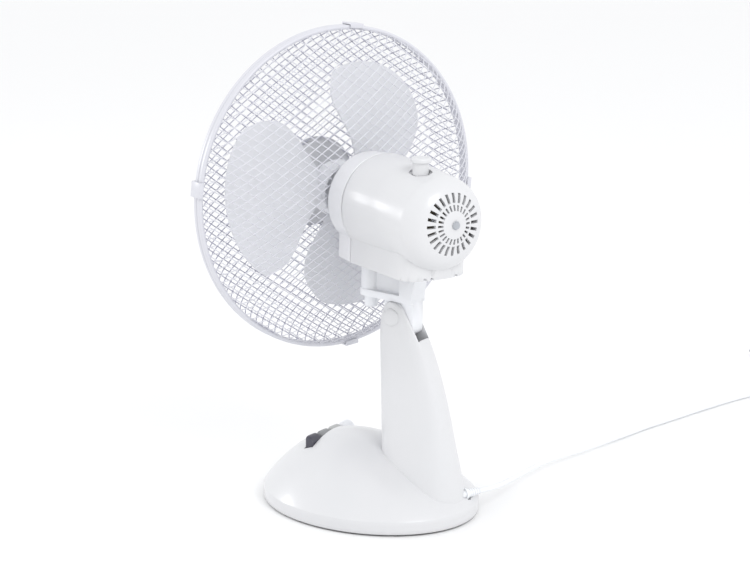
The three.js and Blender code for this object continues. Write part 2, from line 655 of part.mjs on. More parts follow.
head.add(piece('gear_case', gearCase(), GEAR_PLASTIC));
const swivelPin = [[0, -HEAD_HEIGHT + 4], [pinRadius, -HEAD_HEIGHT + 4], [pinRadius, -44], [0, -44]];
head.add(piece('swivel_pin', upright(swivelPin, 24), STEEL));

// ---------------------------------------------------------------- head: guard
const rearGuardLine = [
  [GUARD_EDGE, RIM_Y + 1.1], [RIM_RADIUS - 9, -56], [RIM_RADIUS - 20, -45], [RIM_RADIUS - 55, -32],
  [75, -21.5], [52, -17.2], [32, -17.2],
];
const frontGuardLine = [
  [GUARD_EDGE, RIM_Y - 1.1], [RIM_RADIUS - 9, -75], [RIM_RADIUS - 20, -87], [RIM_RADIUS - 55, -98],
  [75, -103.5], [45, -106],
];

// A dished guard: a skin turned about the fan axis and pierced by a diamond mesh.
function guard(line, side, hole) {
  const outline = skin(line, side * GUARD_THICKNESS);
  const dish = turned(outline, 24);
  const halfWide = MESH_WIDE / 2 - MESH_BAR;
  const halfHigh = (halfWide * MESH_HIGH) / MESH_WIDE;
  const diamonds = [];
  const rows = Math.ceil(RIM_RADIUS / MESH_HIGH) * 2;
  for (let row = -rows; row <= rows; row += 1) {
    for (let place = -6; place <= 6; place += 1) {
      const x = (place + (Math.abs(row) % 2) / 2) * MESH_WIDE;
      const z = (row * MESH_HIGH) / 2;
      const far = Math.hypot(Math.abs(x) + halfWide * 0.7, Math.abs(z) + halfHigh * 0.5);
      const near = Math.hypot(x, z) - halfHigh;
      if (far < 153 && near > hole + 6) {
        const diamond = new THREE.CylinderGeometry(halfWide, halfWide, 200, 4, 1);
        diamond.scale(1, 1, halfHigh / halfWide).translate(x, -60, z);
        diamonds.push(diamond);
      }
    }
  }
  return cut(dish, mergeGeometries(diamonds));
}

head.add(piece('rear_guard', guard(rearGuardLine, 1, 32), GUARD_WHITE));
const frontGuard = piece('front_guard', guard(frontGuardLine, -1, 45), GUARD_WHITE);
head.add(frontGuard);
const seatBack = FRONT_Y - GAP;
const seatFront = -17.2 + GAP;
const guardSeat = [[18.3, seatFront], [42, seatFront], [42, seatBack], [18.3, seatBack], [18.3, seatFront]];
const nutBack = -17.2 - GUARD_THICKNESS - GAP;
const grip = [[BUSH_RADIUS + 2, nutBack - 3], [40, nutBack - 3], [44, nutBack], [BUSH_RADIUS + 2, nutBack]];
head.add(piece('guard_seat', turned(guardSeat, 24), WHITE));
head.add(piece('guard_nut', turned([...grip, grip[0]], 24), WHITE));
const badgeFace = [[0, -111], [32, -110.4], [48, -108.2], [48, -106.4]];
const badgeLine = [...badgeFace, [44, -106.4], [44, -103.4], [0, -103.4]];
head.add(piece('front_badge', turned(badgeLine, 24), WHITE));
const rimLow = RIM_Y - RIM_WIDTH / 2;
const rimHigh = RIM_Y + RIM_WIDTH / 2;
const rimSection = [
  [RIM_RADIUS - RIM_THICKNESS, rimLow + 1], [RIM_RADIUS - 2, rimLow], [RIM_RADIUS, rimLow + 2],
  [RIM_RADIUS, rimHigh - 2], [RIM_RADIUS - 2, rimHigh], [RIM_RADIUS - RIM_THICKNESS, rimHigh - 1],
];
head.add(piece('rim_band', turned([...rimSection, rimSection[0]], 36), GUARD_WHITE));

function guardClip() {
  const long = 16;
  const low = RIM_RADIUS - 3;
  const top = RIM_RADIUS + 2.2;
  const reach = RIM_WIDTH / 2 + GAP;
  const outer = block([-long / 2, long / 2], [-reach - 1.6, reach + 1.6], [low, top]);
  const bed = block([-long, long], [-reach, reach], [low - 5, RIM_RADIUS + GAP]);
  return cut(outer, bed);
}

CLIP_TURNS.forEach((degrees, i) => {
  const clip = piece(`guard_clip_${i + 1}`, guardClip(), GUARD_WHITE);
  clip.rotation.y = THREE.MathUtils.degToRad(degrees);
  clip.position.y = RIM_Y;
  head.add(clip);
});

// ---------------------------------------------------------------- oscillation drive
const knobSide = [[0, 10], [2, 10], [2, 36], [KNOB_RADIUS, 36], [KNOB_RADIUS, 54], [KNOB_CAP_RADIUS, 55]];
const knobTop = [[KNOB_CAP_RADIUS, 58.4], [KNOB_CAP_RADIUS - 1.4, 59.6], [0, 60]];
const knob = upright([...knobSide, ...knobTop], 20).translate(SPINDLE_X, SPINDLE_Y, 0);
head.add(piece('oscillation_knob', knob, WHITE));
const wheel = [[0, -16], [2.4, -16], [2.4, -4], [5.8, -4], [5.8, 4], [2.4, 4], [2.4, 9.4], [0, 9.4]];
const wormWheel = upright(wheel, 20).translate(SPINDLE_X, SPINDLE_Y, 0);
head.add(piece('worm_wheel', wormWheel, BRASS));

// The crank's place when the link's far eye is over the neck's link post, from the four-bar's lengths.
function crankTurn() {
  const post = new THREE.Vector2(0, LINK_PIN_ARM).rotateAround(new THREE.Vector2(), -YAW);
  const towards = post.sub(new THREE.Vector2(0, CRANK_Y));
  const apart = towards.length();
  const share = (CRANK_ARM ** 2 + apart ** 2 - LINK_LENGTH ** 2) / (2 * CRANK_ARM * apart);
  return towards.angle() - Math.acos(share);
}

const crank = new THREE.Group();
crank.position.set(0, CRANK_Y, 0);
crank.rotation.z = crankTurn();
head.add(crank);
const spindle = [[0, -42.6], [14, -42.6], [14, -39.4], [3, -39.4], [3, -19.6], [6.4, -19.6], [6.4, -16.8], [0, -16.8]];
const crankPin = uprightRod(PIN_RADIUS, LINK_TOP - LINK_THICKNESS, -42, 16).translate(CRANK_ARM, 0, 0);
crank.add(piece('crank', join(upright(spindle, 20), crankPin), GEAR_PLASTIC));

function linkArm() {
  const low = LINK_TOP - LINK_THICKNESS;
  const bar = block([-3.6, 3.6], [-LINK_LENGTH, 0], [low, LINK_TOP]);
  const eye = uprightRod(5.4, low, LINK_TOP, 16);
  const farEye = eye.clone().translate(0, -LINK_LENGTH, 0);
  return cut(join(bar, eye, farEye), uprightRod(PIN_RADIUS + GAP, -70, -30, 16));
}

const linkHeading = Math.asin((CRANK_ARM * Math.cos(crankTurn()) - LINK_PIN_ARM * Math.sin(YAW)) / LINK_LENGTH);
const link = new THREE.Group();
link.position.set(CRANK_ARM * Math.cos(crankTurn()), CRANK_Y + CRANK_ARM * Math.sin(crankTurn()), 0);
link.rotation.z = -linkHeading;
link.add(piece('link_arm', linkArm(), STEEL));
head.add(link);

// ---------------------------------------------------------------- shaft, rotor and blades
const shaftEnds = [HUB_Y[0] - 6, CASE_Y[1] - 3];
head.add(piece('motor_shaft', rod(SHAFT_RADIUS - 0.2, ...shaftEnds, 20), STEEL));
const rotorRing = ringAlongY(SHAFT_RADIUS + 0.1, ROTOR_RADIUS - 0.6, STACK[0], STACK[1], 14);
head.add(piece('rotor', rotorRing, LAMINATED));

// One blade: a twisted, rounded sheet that grows out of the hub.
function blade() {
  const sheet = new THREE.BoxGeometry(1, 1, 1, 4, 1, 4);
  reshape(sheet, (p) => {
    const out = p.x + 0.5;
    const share = p.z * 2;
    const rounding = Math.sqrt(1 - (0.86 * share) ** 2);
    const reach = HUB_RADIUS - 4 + (BLADE_REACH - HUB_RADIUS + 4) * out * (0.82 + 0.18 * rounding);
    const halfAngle = 0.47 + 0.38 * Math.sin(Math.min(out * 1.15, 1) * Math.PI * 0.55) - 0.22 * out ** 4;
    const depth = 12 + 5 * Math.sin(out * Math.PI * 0.8);
    const angle = halfAngle * share + 0.35 * out;
    const middle = (HUB_Y[0] + HUB_Y[1]) / 2 - 5 * out;
    p.set(reach * Math.sin(angle), middle + depth * share + BLADE_THICKNESS * p.y, reach * Math.cos(angle));
  });
  return sheet;
}

function fanBlade() {
  const [low, high] = HUB_Y;
  const front = [[0, low], [HUB_RADIUS - 6, low], [HUB_RADIUS - 1.5, low + 1.6], [HUB_RADIUS, low + 6], [HUB_RADIUS, high]];
  const back = [[HUB_RADIUS - 3, high], [HUB_RADIUS - 3, low + 5], [9, low + 5], [9, high - 2], [0, high - 2]];
  const parts = [];
  for (let i = 0; i < BLADE_COUNT; i += 1) {
    parts.push(blade().rotateY(BLADE_TURN + (i / BLADE_COUNT) * 2 * Math.PI));
  }
  const body = join(turned([...front, ...back], 20), ...parts);
  const clear = rod(HUB_RADIUS - 3.2, low + 5.2, high + 20, 24);
  const hubPost = rod(9, low + 1, high - 2, 18);
  return cut(join(cut(body, clear), hubPost), rod(SHAFT_RADIUS + 0.1, -140, 60, 20));
}

head.add(piece('fan_blade', fanBlade(), BLADE_WHITE));
const spinnerFront = HUB_Y[0] - 9;
const spinnerLine = [
  [0, spinnerFront], [6, spinnerFront + 0.4], [10, spinnerFront + 3], [12, HUB_Y[0] - GAP],
  [SHAFT_RADIUS + 0.1, HUB_Y[0] - GAP], [SHAFT_RADIUS + 0.1, shaftEnds[0] - GAP], [0, shaftEnds[0] - GAP],
];
head.add(piece('blade_nut', turned(spinnerLine, 20), WHITE));

// ---------------------------------------------------------------- cord and plug
const turnToHeading = new THREE.Quaternion().setFromUnitVectors(new THREE.Vector3(0, 1, 0), CORD_HEADING);
const relief = turned([
  [0, -8], [4.6, -8], [4.6, 3.4], [6.6, 3.6], [6.6, 5.4], [4.4, 6], [3.4, RELIEF_LENGTH], [0, RELIEF_LENGTH],
], 16).applyQuaternion(turnToHeading).translate(...CORD_EXIT.toArray());
base.add(piece('strain_relief', relief, CORD_WHITE));

const reliefTip = CORD_EXIT.clone().addScaledVector(CORD_HEADING, RELIEF_LENGTH + GAP);
const route = [reliefTip, ...CORD_POINTS.map((p) => new THREE.Vector3(...p))];
const round = new THREE.Shape();
round.absarc(0, 0, CORD_RADIUS, 0, 2 * Math.PI);
const cordOptions = { steps: 48, curveSegments: 4, extrudePath: new THREE.CatmullRomCurve3(route) };
const cord = new THREE.ExtrudeGeometry(round, { ...cordOptions, bevelEnabled: false });
base.add(piece('power_cord', cord, CORD_WHITE));

const coilSection = [
  [COIL_INNER, 0.4], [COIL_OUTER, 0.4], [COIL_OUTER, COIL_HEIGHT], [COIL_INNER, COIL_HEIGHT], [COIL_INNER, 0.4],
];
const coil = upright(coilSection, 20).translate(...COIL_CENTRE.toArray());
base.add(piece('cord_coil', coil, CORD_WHITE));

// The plug lies beside the coil, on a line that leaves the outer turn on its far side.
const plug = new THREE.Group();
plug.position.set(COIL_CENTRE.x - 43.5, COIL_CENTRE.y - 20, 7.2);
plug.rotation.z = Math.PI;
base.add(plug);
const plugPlan = new THREE.Shape();
plugPlan.moveTo(-7, 22);
plugPlan.quadraticCurveTo(-13, 27, -13, 34);
plugPlan.lineTo(-13, 54);
plugPlan.quadraticCurveTo(-13, 57, -10, 57);
plugPlan.lineTo(10, 57);
plugPlan.quadraticCurveTo(13, 57, 13, 54);
plugPlan.lineTo(13, 34);
plugPlan.quadraticCurveTo(13, 27, 7, 22);
plugPlan.lineTo(-7, 22);
const plugSleeve = turned([[0, 0], [3.4, 0], [4.8, 24], [0, 24]], 16);
plug.add(piece('plug_body', join(raised(plugPlan, -6.9, 6.9), plugSleeve), CORD_WHITE));
[-9.5, 9.5].forEach((x, i) => {
  const pin = turned([[0, 57 + GAP], [2, 57 + GAP], [2, 75], [1.2, 76], [0, 76]], 16).translate(x, 0, 0);
  plug.add(piece(`plug_pin_${i + 1}`, pin, STEEL));
});

export default fan;
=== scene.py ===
# %% [markdown]
# # A desk fan, rebuilt piece by piece
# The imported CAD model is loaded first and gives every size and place. Each visible piece is then made
# again with finer surfaces and a finish of its own, and rides on the same body as the piece it covers.

# %% Loading the frame
import json
import math

import bmesh
import bpy
from mathutils import Matrix, Vector


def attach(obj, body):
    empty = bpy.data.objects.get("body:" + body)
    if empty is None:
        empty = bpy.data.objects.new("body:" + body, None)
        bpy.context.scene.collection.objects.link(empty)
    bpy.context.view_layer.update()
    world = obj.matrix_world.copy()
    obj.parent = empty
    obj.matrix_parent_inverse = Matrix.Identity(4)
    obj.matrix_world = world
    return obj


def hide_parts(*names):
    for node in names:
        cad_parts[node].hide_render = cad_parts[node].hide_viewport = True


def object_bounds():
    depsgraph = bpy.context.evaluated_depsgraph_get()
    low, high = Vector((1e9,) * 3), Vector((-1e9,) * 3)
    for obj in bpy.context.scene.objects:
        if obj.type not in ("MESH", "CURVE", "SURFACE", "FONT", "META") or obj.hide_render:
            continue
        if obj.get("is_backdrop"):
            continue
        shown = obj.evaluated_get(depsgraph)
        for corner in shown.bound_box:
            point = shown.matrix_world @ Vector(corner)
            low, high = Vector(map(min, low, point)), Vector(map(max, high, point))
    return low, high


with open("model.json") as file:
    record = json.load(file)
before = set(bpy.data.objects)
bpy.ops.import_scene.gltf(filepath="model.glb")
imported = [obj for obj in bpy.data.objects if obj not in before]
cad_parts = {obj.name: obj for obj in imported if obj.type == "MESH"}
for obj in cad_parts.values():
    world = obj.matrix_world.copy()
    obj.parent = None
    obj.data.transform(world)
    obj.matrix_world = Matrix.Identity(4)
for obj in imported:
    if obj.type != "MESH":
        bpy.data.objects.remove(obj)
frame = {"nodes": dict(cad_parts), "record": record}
cad_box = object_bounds()
scene = bpy.context.scene

# %% [markdown]
# ## Three sets of axes
# The fan is easiest to describe in millimetres about three centres: a point on the floor just in front of
# the column, the tilt hinge, and the point where the fan's axis crosses the swivel axis. One matrix for
# each turns those millimetres into metres in the shared frame.

# %% Axes of the base, the neck and the head
TILT = math.radians(1.84)
YAW = math.radians(-18.95)
PIVOT_Y, PIVOT_Z = 22.2, 210
SWIVEL_FORWARD, HEAD_HEIGHT = 35.5, 115  # from the tilt hinge to the head's centre
millimetres = Matrix.Scale(0.001, 4)
base_axes = Matrix.Translation((0.0213, 0.0092, 0)) @ millimetres
neck_axes = base_axes @ Matrix.Translation((0, PIVOT_Y, PIVOT_Z)) @ Matrix.Rotation(-TILT, 4, "X")
head_at = Matrix.Translation((0, -SWIVEL_FORWARD, HEAD_HEIGHT))
head_axes = neck_axes @ head_at @ Matrix.Rotation(YAW, 4, "Z")
print("head centre:", [round(v, 4) for v in head_axes.translation])

# %% [markdown]
# ## The camera
# A long lens from behind and to the right, a little above. It sits 2 m away, so the near and far sides
# of the guard keep almost the same size.

# %% Camera
AZIMUTH, ELEVATION = math.radians(125.39), math.radians(13.86)
camera = bpy.data.objects.new("camera", bpy.data.cameras.new("camera"))
scene.collection.objects.link(camera)
camera.location = (1.5591, 1.0993, 0.6944)
camera.rotation_euler = (math.pi / 2 - ELEVATION, 0, AZIMUTH)
camera.data.lens = 90.72
camera.data.sensor_width = 36
camera.data.shift_x = -0.0063
camera.data.shift_y = 0.016
camera.data.clip_end = 200
scene.camera = camera
print("lens:", camera.data.lens, "mm")

# %% [markdown]
# ## Small tools
# Colours are written as they look on a screen, and one function turns them into the linear values that
# the renderer adds light with. Another adds a node, with its settings and its links, to any node tree.


# %% Colour and node helpers
def linear(hex_colour):
    parts = [int(hex_colour[i:i + 2], 16) / 255 for i in (1, 3, 5)]
    return [p / 12.92 if p <= 0.04045 else ((p + 0.055) / 1.055) ** 2.4 for p in parts] + [1]


def add_node(tree, kind, inputs=None, **settings):
    node = tree.nodes.new(kind)
    for key, value in settings.items():
        setattr(node, key, value)
    for key, value in (inputs or {}).items():
        if isinstance(value, bpy.types.NodeSocket):
            tree.links.new(value, node.inputs[key])
        else:
            node.inputs[key].default_value = value
    return node


# %% [markdown]
# ## Finishes
# Almost everything one sees is injection-moulded plastic. What tells the pieces apart is how the mould
# was made: the housings came from a polished tool and look glossy, the wires are dipped, the cord is soft.
# Each finish has a little unevenness at the size that the real process leaves. A few are lighter or darker
# copies of one plastic, which paint in light or shade.


# %% A finish with fine unevenness
def finish(name, colour, roughness, grain_mm, relief_mm, second, mix_mm, metallic=0, coat=0, ior=1.5):
    """Relief repeats every grain_mm, and the colour drifts to a second one over mix_mm."""
    look = bpy.data.materials.new(name)
    look.use_nodes = True
    tree = look.node_tree
    surface = tree.nodes["Principled BSDF"]
    spot = add_node(tree, "ShaderNodeTexCoord").outputs["Object"]
    grain_of = {"Vector": spot, "Scale": 1000 / grain_mm, "Detail": 3}
    grain = add_node(tree, "ShaderNodeTexNoise", grain_of).outputs["Fac"]
    drift_of = {"Vector": spot, "Scale": 1000 / mix_mm, "Detail": 2}
    drift = add_node(tree, "ShaderNodeTexNoise", drift_of).outputs["Fac"]
    tones = {"Factor": drift, 6: linear(colour), 7: linear(second)}
    tone = add_node(tree, "ShaderNodeMix", tones, data_type="RGBA")
    tree.links.new(tone.outputs[2], surface.inputs["Base Color"])
    shines = {"Value": drift, "To Min": roughness * 0.85, "To Max": roughness * 1.2}
    shine = add_node(tree, "ShaderNodeMapRange", shines)
    tree.links.new(shine.outputs["Result"], surface.inputs["Roughness"])
    relief = {"Height": grain, "Strength": 0.6, "Distance": relief_mm / 1000}
    bump = add_node(tree, "ShaderNodeBump", relief)
    tree.links.new(bump.outputs["Normal"], surface.inputs["Normal"])
    surface.inputs["Metallic"].default_value = metallic
    surface.inputs["Coat Weight"].default_value = coat
    surface.inputs["Coat Roughness"].default_value = 0.12
    if not metallic:
        surface.inputs["IOR"].default_value = ior
    look.diffuse_color = linear(colour)
    return look


# Polished ABS: sharp soft-box reflections, hardly any grain.
housing_abs = finish("moulded_abs_white", "#d8d8da", 0.3, 1.2, 0.01, "#d4d5d7", 60, coat=0.3)
# The front cover is the same ABS as the housing, painted lighter to lift the shade that the guard casts on
# it.
shade_lifted_cover_abs = finish("moulded_abs_cover_painted_light", "#e3e3e6", 0.3, 1.2, 0.01, "#dfe0e3", 60, coat=0.2)
# The neck is the same white ABS painted lighter, to lift the shade it sits in under the housing; it is also a
# little cooler and flatter.
shade_lifted_neck_abs = finish("moulded_abs_neck_painted_light", "#edeef1", 0.36, 0.9, 0.015, "#e9ebef", 30)
# Steel wire dipped in white vinyl: soft edges and a skin slightly uneven along the wire.
wire_coating = finish("vinyl_dipped_wire", "#d9d9df", 0.4, 2.5, 0.05, "#d1d2d9", 25)
# The front guard's wires are the same white vinyl, painted darker and more lilac for the shade they are seen
# in.
shaded_front_coating = finish("vinyl_dipped_wire_front_painted_shade", "#bcbcc9", 0.42, 2.5, 0.05, "#b4b4c3", 25)
rim_abs = finish("moulded_abs_rim", "#d3d3d9", 0.34, 1.0, 0.015, "#cecfd6", 40, coat=0.1)
# Blades are polypropylene: a bluish white with a waxy sheen.
blade_pp = finish("moulded_pp_blade", "#dfe0e4", 0.32, 1.5, 0.015, "#d9dade", 70)
# Soft PVC on the cord and its sleeve.
cord_pvc = finish("soft_pvc_white", "#eff1f3", 0.42, 1.4, 0.03, "#e8eaee", 30, ior=1.53)
zinc = finish("zinc_plated_steel", "#c2c5ca", 0.32, 0.6, 0.02, "#aeb2b8", 8, metallic=1)
sheets = finish("silicon_steel_sheets", "#73767b", 0.5, 0.5, 0.06, "#5d6065", 6, metallic=1)
enamelled_copper = finish("enamelled_copper_wire", "#a4572f", 0.38, 0.7, 0.25, "#8a4524", 4, metallic=0.8)
sintered_bronze = finish("sintered_bronze", "#b08b4c", 0.5, 0.4, 0.04, "#98763e", 5, metallic=1)
cast_aluminium = finish("die_cast_aluminium", "#a6a9ac", 0.48, 0.8, 0.06, "#96999d", 10, metallic=1)
foot_rubber = finish("moulded_rubber", "#3a3b3e", 0.8, 0.5, 0.05, "#303134", 12, ior=1.52)
natural_nylon = finish("natural_nylon", "#dcd8c8", 0.45, 1.0, 0.03, "#d2cdbb", 12, ior=1.53)
KEY_COLOURS = [
    ("#eff0f3", "#ebedf1"), ("#b9bab9", "#b2b3b3"), ("#8f9091", "#86878a"), ("#4c4b55", "#44434e"),
]
key_finishes = [
    finish(f"moulded_abs_key_{i}", colour, 0.32, 0.8, 0.012, other, 15)
    for i, (colour, other) in enumerate(KEY_COLOURS)
]
print("finishes:", len(bpy.data.materials))


# %% [markdown]
# ## Making a piece
# Every piece is a plain mesh whose place is in its points. The first helper makes one from points and
# faces, the second turns a profile about the fan axis, and the third stacks rings of points into a skin.

# %% Mesh helpers
def mesh_piece(name, points, faces, axes):
    mesh = bpy.data.meshes.new(name)
    mesh.from_pydata([axes @ Vector(p) for p in points], [], faces)
    piece = bpy.data.objects.new(name, mesh)
    scene.collection.objects.link(piece)
    return piece


def tidy(piece, angle=35):
    """Joins doubled points, points the faces outwards and smooths all but the sharp edges."""
    work = bmesh.new()
    work.from_mesh(piece.data)
    bmesh.ops.remove_doubles(work, verts=work.verts, dist=1e-6)
    bmesh.ops.dissolve_degenerate(work, edges=work.edges, dist=1e-7)
    bmesh.ops.recalc_face_normals(work, faces=work.faces)
    work.to_mesh(piece.data)
    work.free()
    piece.data.polygons.foreach_set("use_smooth", [True] * len(piece.data.polygons))
    piece.data.set_sharp_from_angle(angle=math.radians(angle))
    return piece


def stacked(name, rings, axes, angle=35):
    """A closed body from rings of equally many points, with a flat face at each end."""
    count = len(rings[0])
    points = [p for ring in rings for p in ring]
    faces = [list(range(count))[::-1], [len(points) - count + i for i in range(count)]]
    for row in range(len(rings) - 1):
        for i in range(count):
            j = (i + 1) % count
            low, high = row * count, (row + 1) * count
            faces.append([low + i, low + j, high + j, high + i])
    return tidy(mesh_piece(name, points, faces, axes), angle)


def turned(name, profile, axes, segments=96, along="Y", angle=35):
    """A body turned about Y or Z from [radius, height] pairs. A radius of 0 makes a pole."""
    points, faces, rows = [], [], []
    for radius, height in profile:
        row = []
        for i in range(segments if radius > 0 else 1):
            turn = 2 * math.pi * i / segments
            x, other = radius * math.cos(turn), radius * math.sin(turn)
            row.append(len(points))
            points.append((x, height, other) if along == "Y" else (x, other, height))
        rows.append(row)
    for low, high in zip(rows, rows[1:]):
        for i in range(segments):
            j = (i + 1) % segments
            corners = [low[i % len(low)], low[j % len(low)], high[j % len(high)], high[i % len(high)]]
            face = list(dict.fromkeys(corners))
            if len(face) > 2:
                faces.append(face)
    return tidy(mesh_piece(name, points, faces, axes), angle)


def rounded(profile, radius=0.6, steps=3, closed=False):
    """The same line of pairs with its corners rounded."""
    out = []
    count = len(profile)
    for i, point in enumerate(profile):
        here = Vector(point)
        if not closed and i in (0, count - 1):
            out.append(tuple(here))
            continue
        back = Vector(profile[i - 1]) - here
        ahead = Vector(profile[(i + 1) % count]) - here
        reach = min(radius, back.length * 0.45, ahead.length * 0.45)
        start, end = here + back.normalized() * reach, here + ahead.normalized() * reach
        for s in range(steps + 1):
            t = s / steps
            out.append(tuple(start * (1 - t) ** 2 + here * 2 * t * (1 - t) + end * t ** 2))
    return out + [out[0]] if closed else out


def block(name, low, high, axes):
    xs, ys, zs = zip(low, high)
    points = [(x, y, z) for x in xs for y in ys for z in zs]
    faces = [(0, 1, 3, 2), (4, 6, 7, 5), (0, 4, 5, 1), (2, 3, 7, 6), (0, 2, 6, 4), (1, 5, 7, 3)]
    return tidy(mesh_piece(name, points, faces, axes))


def as_plain_mesh(piece):
    """Turns the modified shape into the piece's own mesh and takes the modifiers off."""
    shape = bpy.data.meshes.new_from_object(piece.evaluated_get(bpy.context.evaluated_depsgraph_get()))
    piece.modifiers.clear()
    piece.data = shape
    return piece


def carve(piece, cutters, keep=False):
    for cutter in cutters:
        tool = piece.modifiers.new("carve", "BOOLEAN")
        tool.operation, tool.solver, tool.object = "DIFFERENCE", "EXACT", cutter
    as_plain_mesh(piece)
    if not keep:
        for cutter in cutters:
            bpy.data.objects.remove(cutter)
    return piece


def soften(piece, width_mm, segments=2, angle=40):
    """Rounds the sharp edges a little, as every moulded or pressed edge is."""
    edge = piece.modifiers.new("soften", "BEVEL")
    edge.width = width_mm / 1000
    edge.segments = segments
    edge.limit_method = "ANGLE"
    edge.angle_limit = math.radians(angle)
    return tidy(as_plain_mesh(piece), angle)


def place(piece, body, look, nodes=()):
    """Gives a finished piece its finish, its body and the CAD pieces it covers."""
    piece.data.materials.clear()
    piece.data.materials.append(look)
    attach(piece, body)
    if nodes:
        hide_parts(*nodes)
    print(piece.name, len(piece.data.polygons), "faces on", body)
    return piece


# %% [markdown]
# ## The base
# The base is one moulded hump on an oval: steep in front, where the keys are, and gentle behind. Its
# height falls from the top of the hump by one rule, so it is stacked from rings that follow the rule.

# %% Base shell
BASE_HALF_X, BASE_HALF_Y, BASE_CENTRE_Y = 96.9, 121.3, -14.7
BASE_RIM_Z, HUMP_Y, HUMP_HEIGHT, HUMP_POWER = 15.3, -39, 60.4, 0.93
HUMP_LEVELS = 44
LOWER_EDGE = [(0.975, 1.2), (0.99, 1.8), (0.998, 3.2), (1, 6.5), (1, 11)]  # share and height
KEY_PITCH, KEY_Y, KEY_Z = 19.3, -66.5, 62.3
WINDOW_HALF_X, WINDOW_HALF_Y = 39.4, 5.8


def hump(share):
    return BASE_RIM_Z + HUMP_HEIGHT * (1 - share * share) ** HUMP_POWER


def base_ring(share, height, count=160):
    """One level of the base: share is 0 under the hump's top and 1 at the edge."""
    shift = BASE_CENTRE_Y + (HUMP_Y - BASE_CENTRE_Y) * (1 - share)
    turns = [2 * math.pi * i / count for i in range(count)]
    across, along = share * BASE_HALF_X, share * BASE_HALF_Y
    return [(across * math.cos(t), along * math.sin(t) + shift, height) for t in turns]


levels = [math.sin(math.pi / 2 * i / HUMP_LEVELS) for i in range(HUMP_LEVELS, 0, -1)]
rings = [base_ring(share, height) for share, height in LOWER_EDGE]
rings += [base_ring(share, hump(share)) for share in levels]
base_shell = stacked("base_cover", rings, base_axes, 50)
window_low = (-WINDOW_HALF_X, KEY_Y - WINDOW_HALF_Y, 40)
window_high = (WINDOW_HALF_X, KEY_Y + WINDOW_HALF_Y, 120)
key_window = block("key_window", window_low, window_high, base_axes)
relief_heading = Vector((-0.94, 0.34, 0)).normalized()
relief_start = Vector((-13, 92, 25.5))
relief_turn = Vector((0, 1, 0)).rotation_difference(relief_heading).to_matrix().to_4x4()
relief_axes = base_axes @ Matrix.Translation(relief_start) @ relief_turn
# The hole for the cord's sleeve: radius and distance along the sleeve, widest at its flange.
cord_way = [(0, -6), (5.4, -6), (5.4, 3), (7.4, 3.2), (7.4, 9), (5.4, 9.4), (5.4, 32), (0, 32)]
carve(base_shell, [key_window, turned("cord_way", cord_way, relief_axes, 48)])
soften(base_shell, 0.7, 2, 50)
place(base_shell, "base", housing_abs, ["base_shell"])

# %% [markdown]
# ## The keys
# Four keys stand in one row, from white to dark grey. Each has a tall front for the fingertip, a crowned
# top that falls away to the rear, and soft edges, so it is stacked from arches of one shape.

# %% Keys
KEY_HALF, KEY_CROWN, KEY_BOTTOM = 8.8, 6, -15
KEY_ARCHES = [  # place from front to rear, height, and how far the edge draws in
    (-5, 7.6, 0.6), (-4.8, 8.4, 0.3), (-4.1, 9.2, 0), (-2.5, 9.2, 0), (-0.8, 8.8, 0),
    (0.8, 8, 0), (2.5, 6.8, 0), (4.1, 5, 0), (4.7, 4.2, 0.3), (5, 3.2, 0.6),
]
KEY_RIDES = [
    ("off_key", "key_white"), ("low_key", "key_light_grey"),
    ("middle_key", "key_mid_grey"), ("high_key", "key_dark_grey"),
]


def key_piece(number):
    centre = KEY_PITCH * (number - 1.5)
    rings = []
    for y, height, drop in KEY_ARCHES:
        half, spring = KEY_HALF - drop, height - KEY_CROWN
        arch = [(half, KEY_BOTTOM), (half, spring)]
        for step in range(1, 16):
            turn = math.pi * step / 16
            lean = math.copysign(abs(math.cos(turn)) ** 0.35, math.cos(turn))
            arch.append((half * lean, spring + KEY_CROWN * abs(math.sin(turn)) ** 0.4))
        arch += [(-half, spring), (-half, KEY_BOTTOM)]
        rings.append([(centre + x, KEY_Y + y, KEY_Z + z) for x, z in arch])
    return stacked(f"key_cap_{number}", rings, base_axes, 40)


for number, (body, slot) in enumerate(KEY_RIDES):
    place(key_piece(number), body, key_finishes[number], [f"key_{number}"])

# %% [markdown]
# ## The column
# The column leans back: nearly upright in front and sloping behind, with a section that goes from an oval
# at its foot to almost a rectangle where it forks round the neck. It is stacked from such sections, and
# the fork, the bolt's recesses and the cord's hole are carved out of it.

# %% Column
COLUMN = [  # height, half width, front and rear
    (0, 37, 10, 101), (15, 35, 10, 99), (45, 30, 9, 94), (74, 25, 7, 88), (110, 20.5, 5.3, 80.5),
    (145, 17.5, 4, 71), (177, 15, 3.1, 59.5), (200, 15, 4, 47), (214, 15, 7, 38.5), (223, 14.8, 12.8, 32),
    (225.5, 14.6, 18.2, 26.2),
]
FOOT_SQUARENESS, FORK_SQUARENESS, SQUARE_FROM_Z = 2.3, 3.4, 177  # 2 would be an ellipse
FORK_HALF, FORK_ROUND, FORK_FRONT_Y = 9.3, 38, 7.4
RECESS_RADIUS = 8.6


def between(z, index):
    """A smooth value between the column's stations."""
    heights = [row[0] for row in COLUMN]
    i = max(k for k in range(len(heights) - 1) if heights[k] <= z + 1e-9)
    a, b = COLUMN[max(i - 1, 0)], COLUMN[i]
    c, d = COLUMN[i + 1], COLUMN[min(i + 2, len(COLUMN) - 1)]
    t = (z - b[0]) / (c[0] - b[0])
    rise_b = (c[index] - a[index]) / (c[0] - a[0]) * (c[0] - b[0])
    rise_c = (d[index] - b[index]) / (d[0] - b[0]) * (c[0] - b[0])
    return (b[index] * (1 + 2 * t) * (1 - t) ** 2 + rise_b * t * (1 - t) ** 2
            + c[index] * t * t * (3 - 2 * t) + rise_c * t * t * (t - 1))


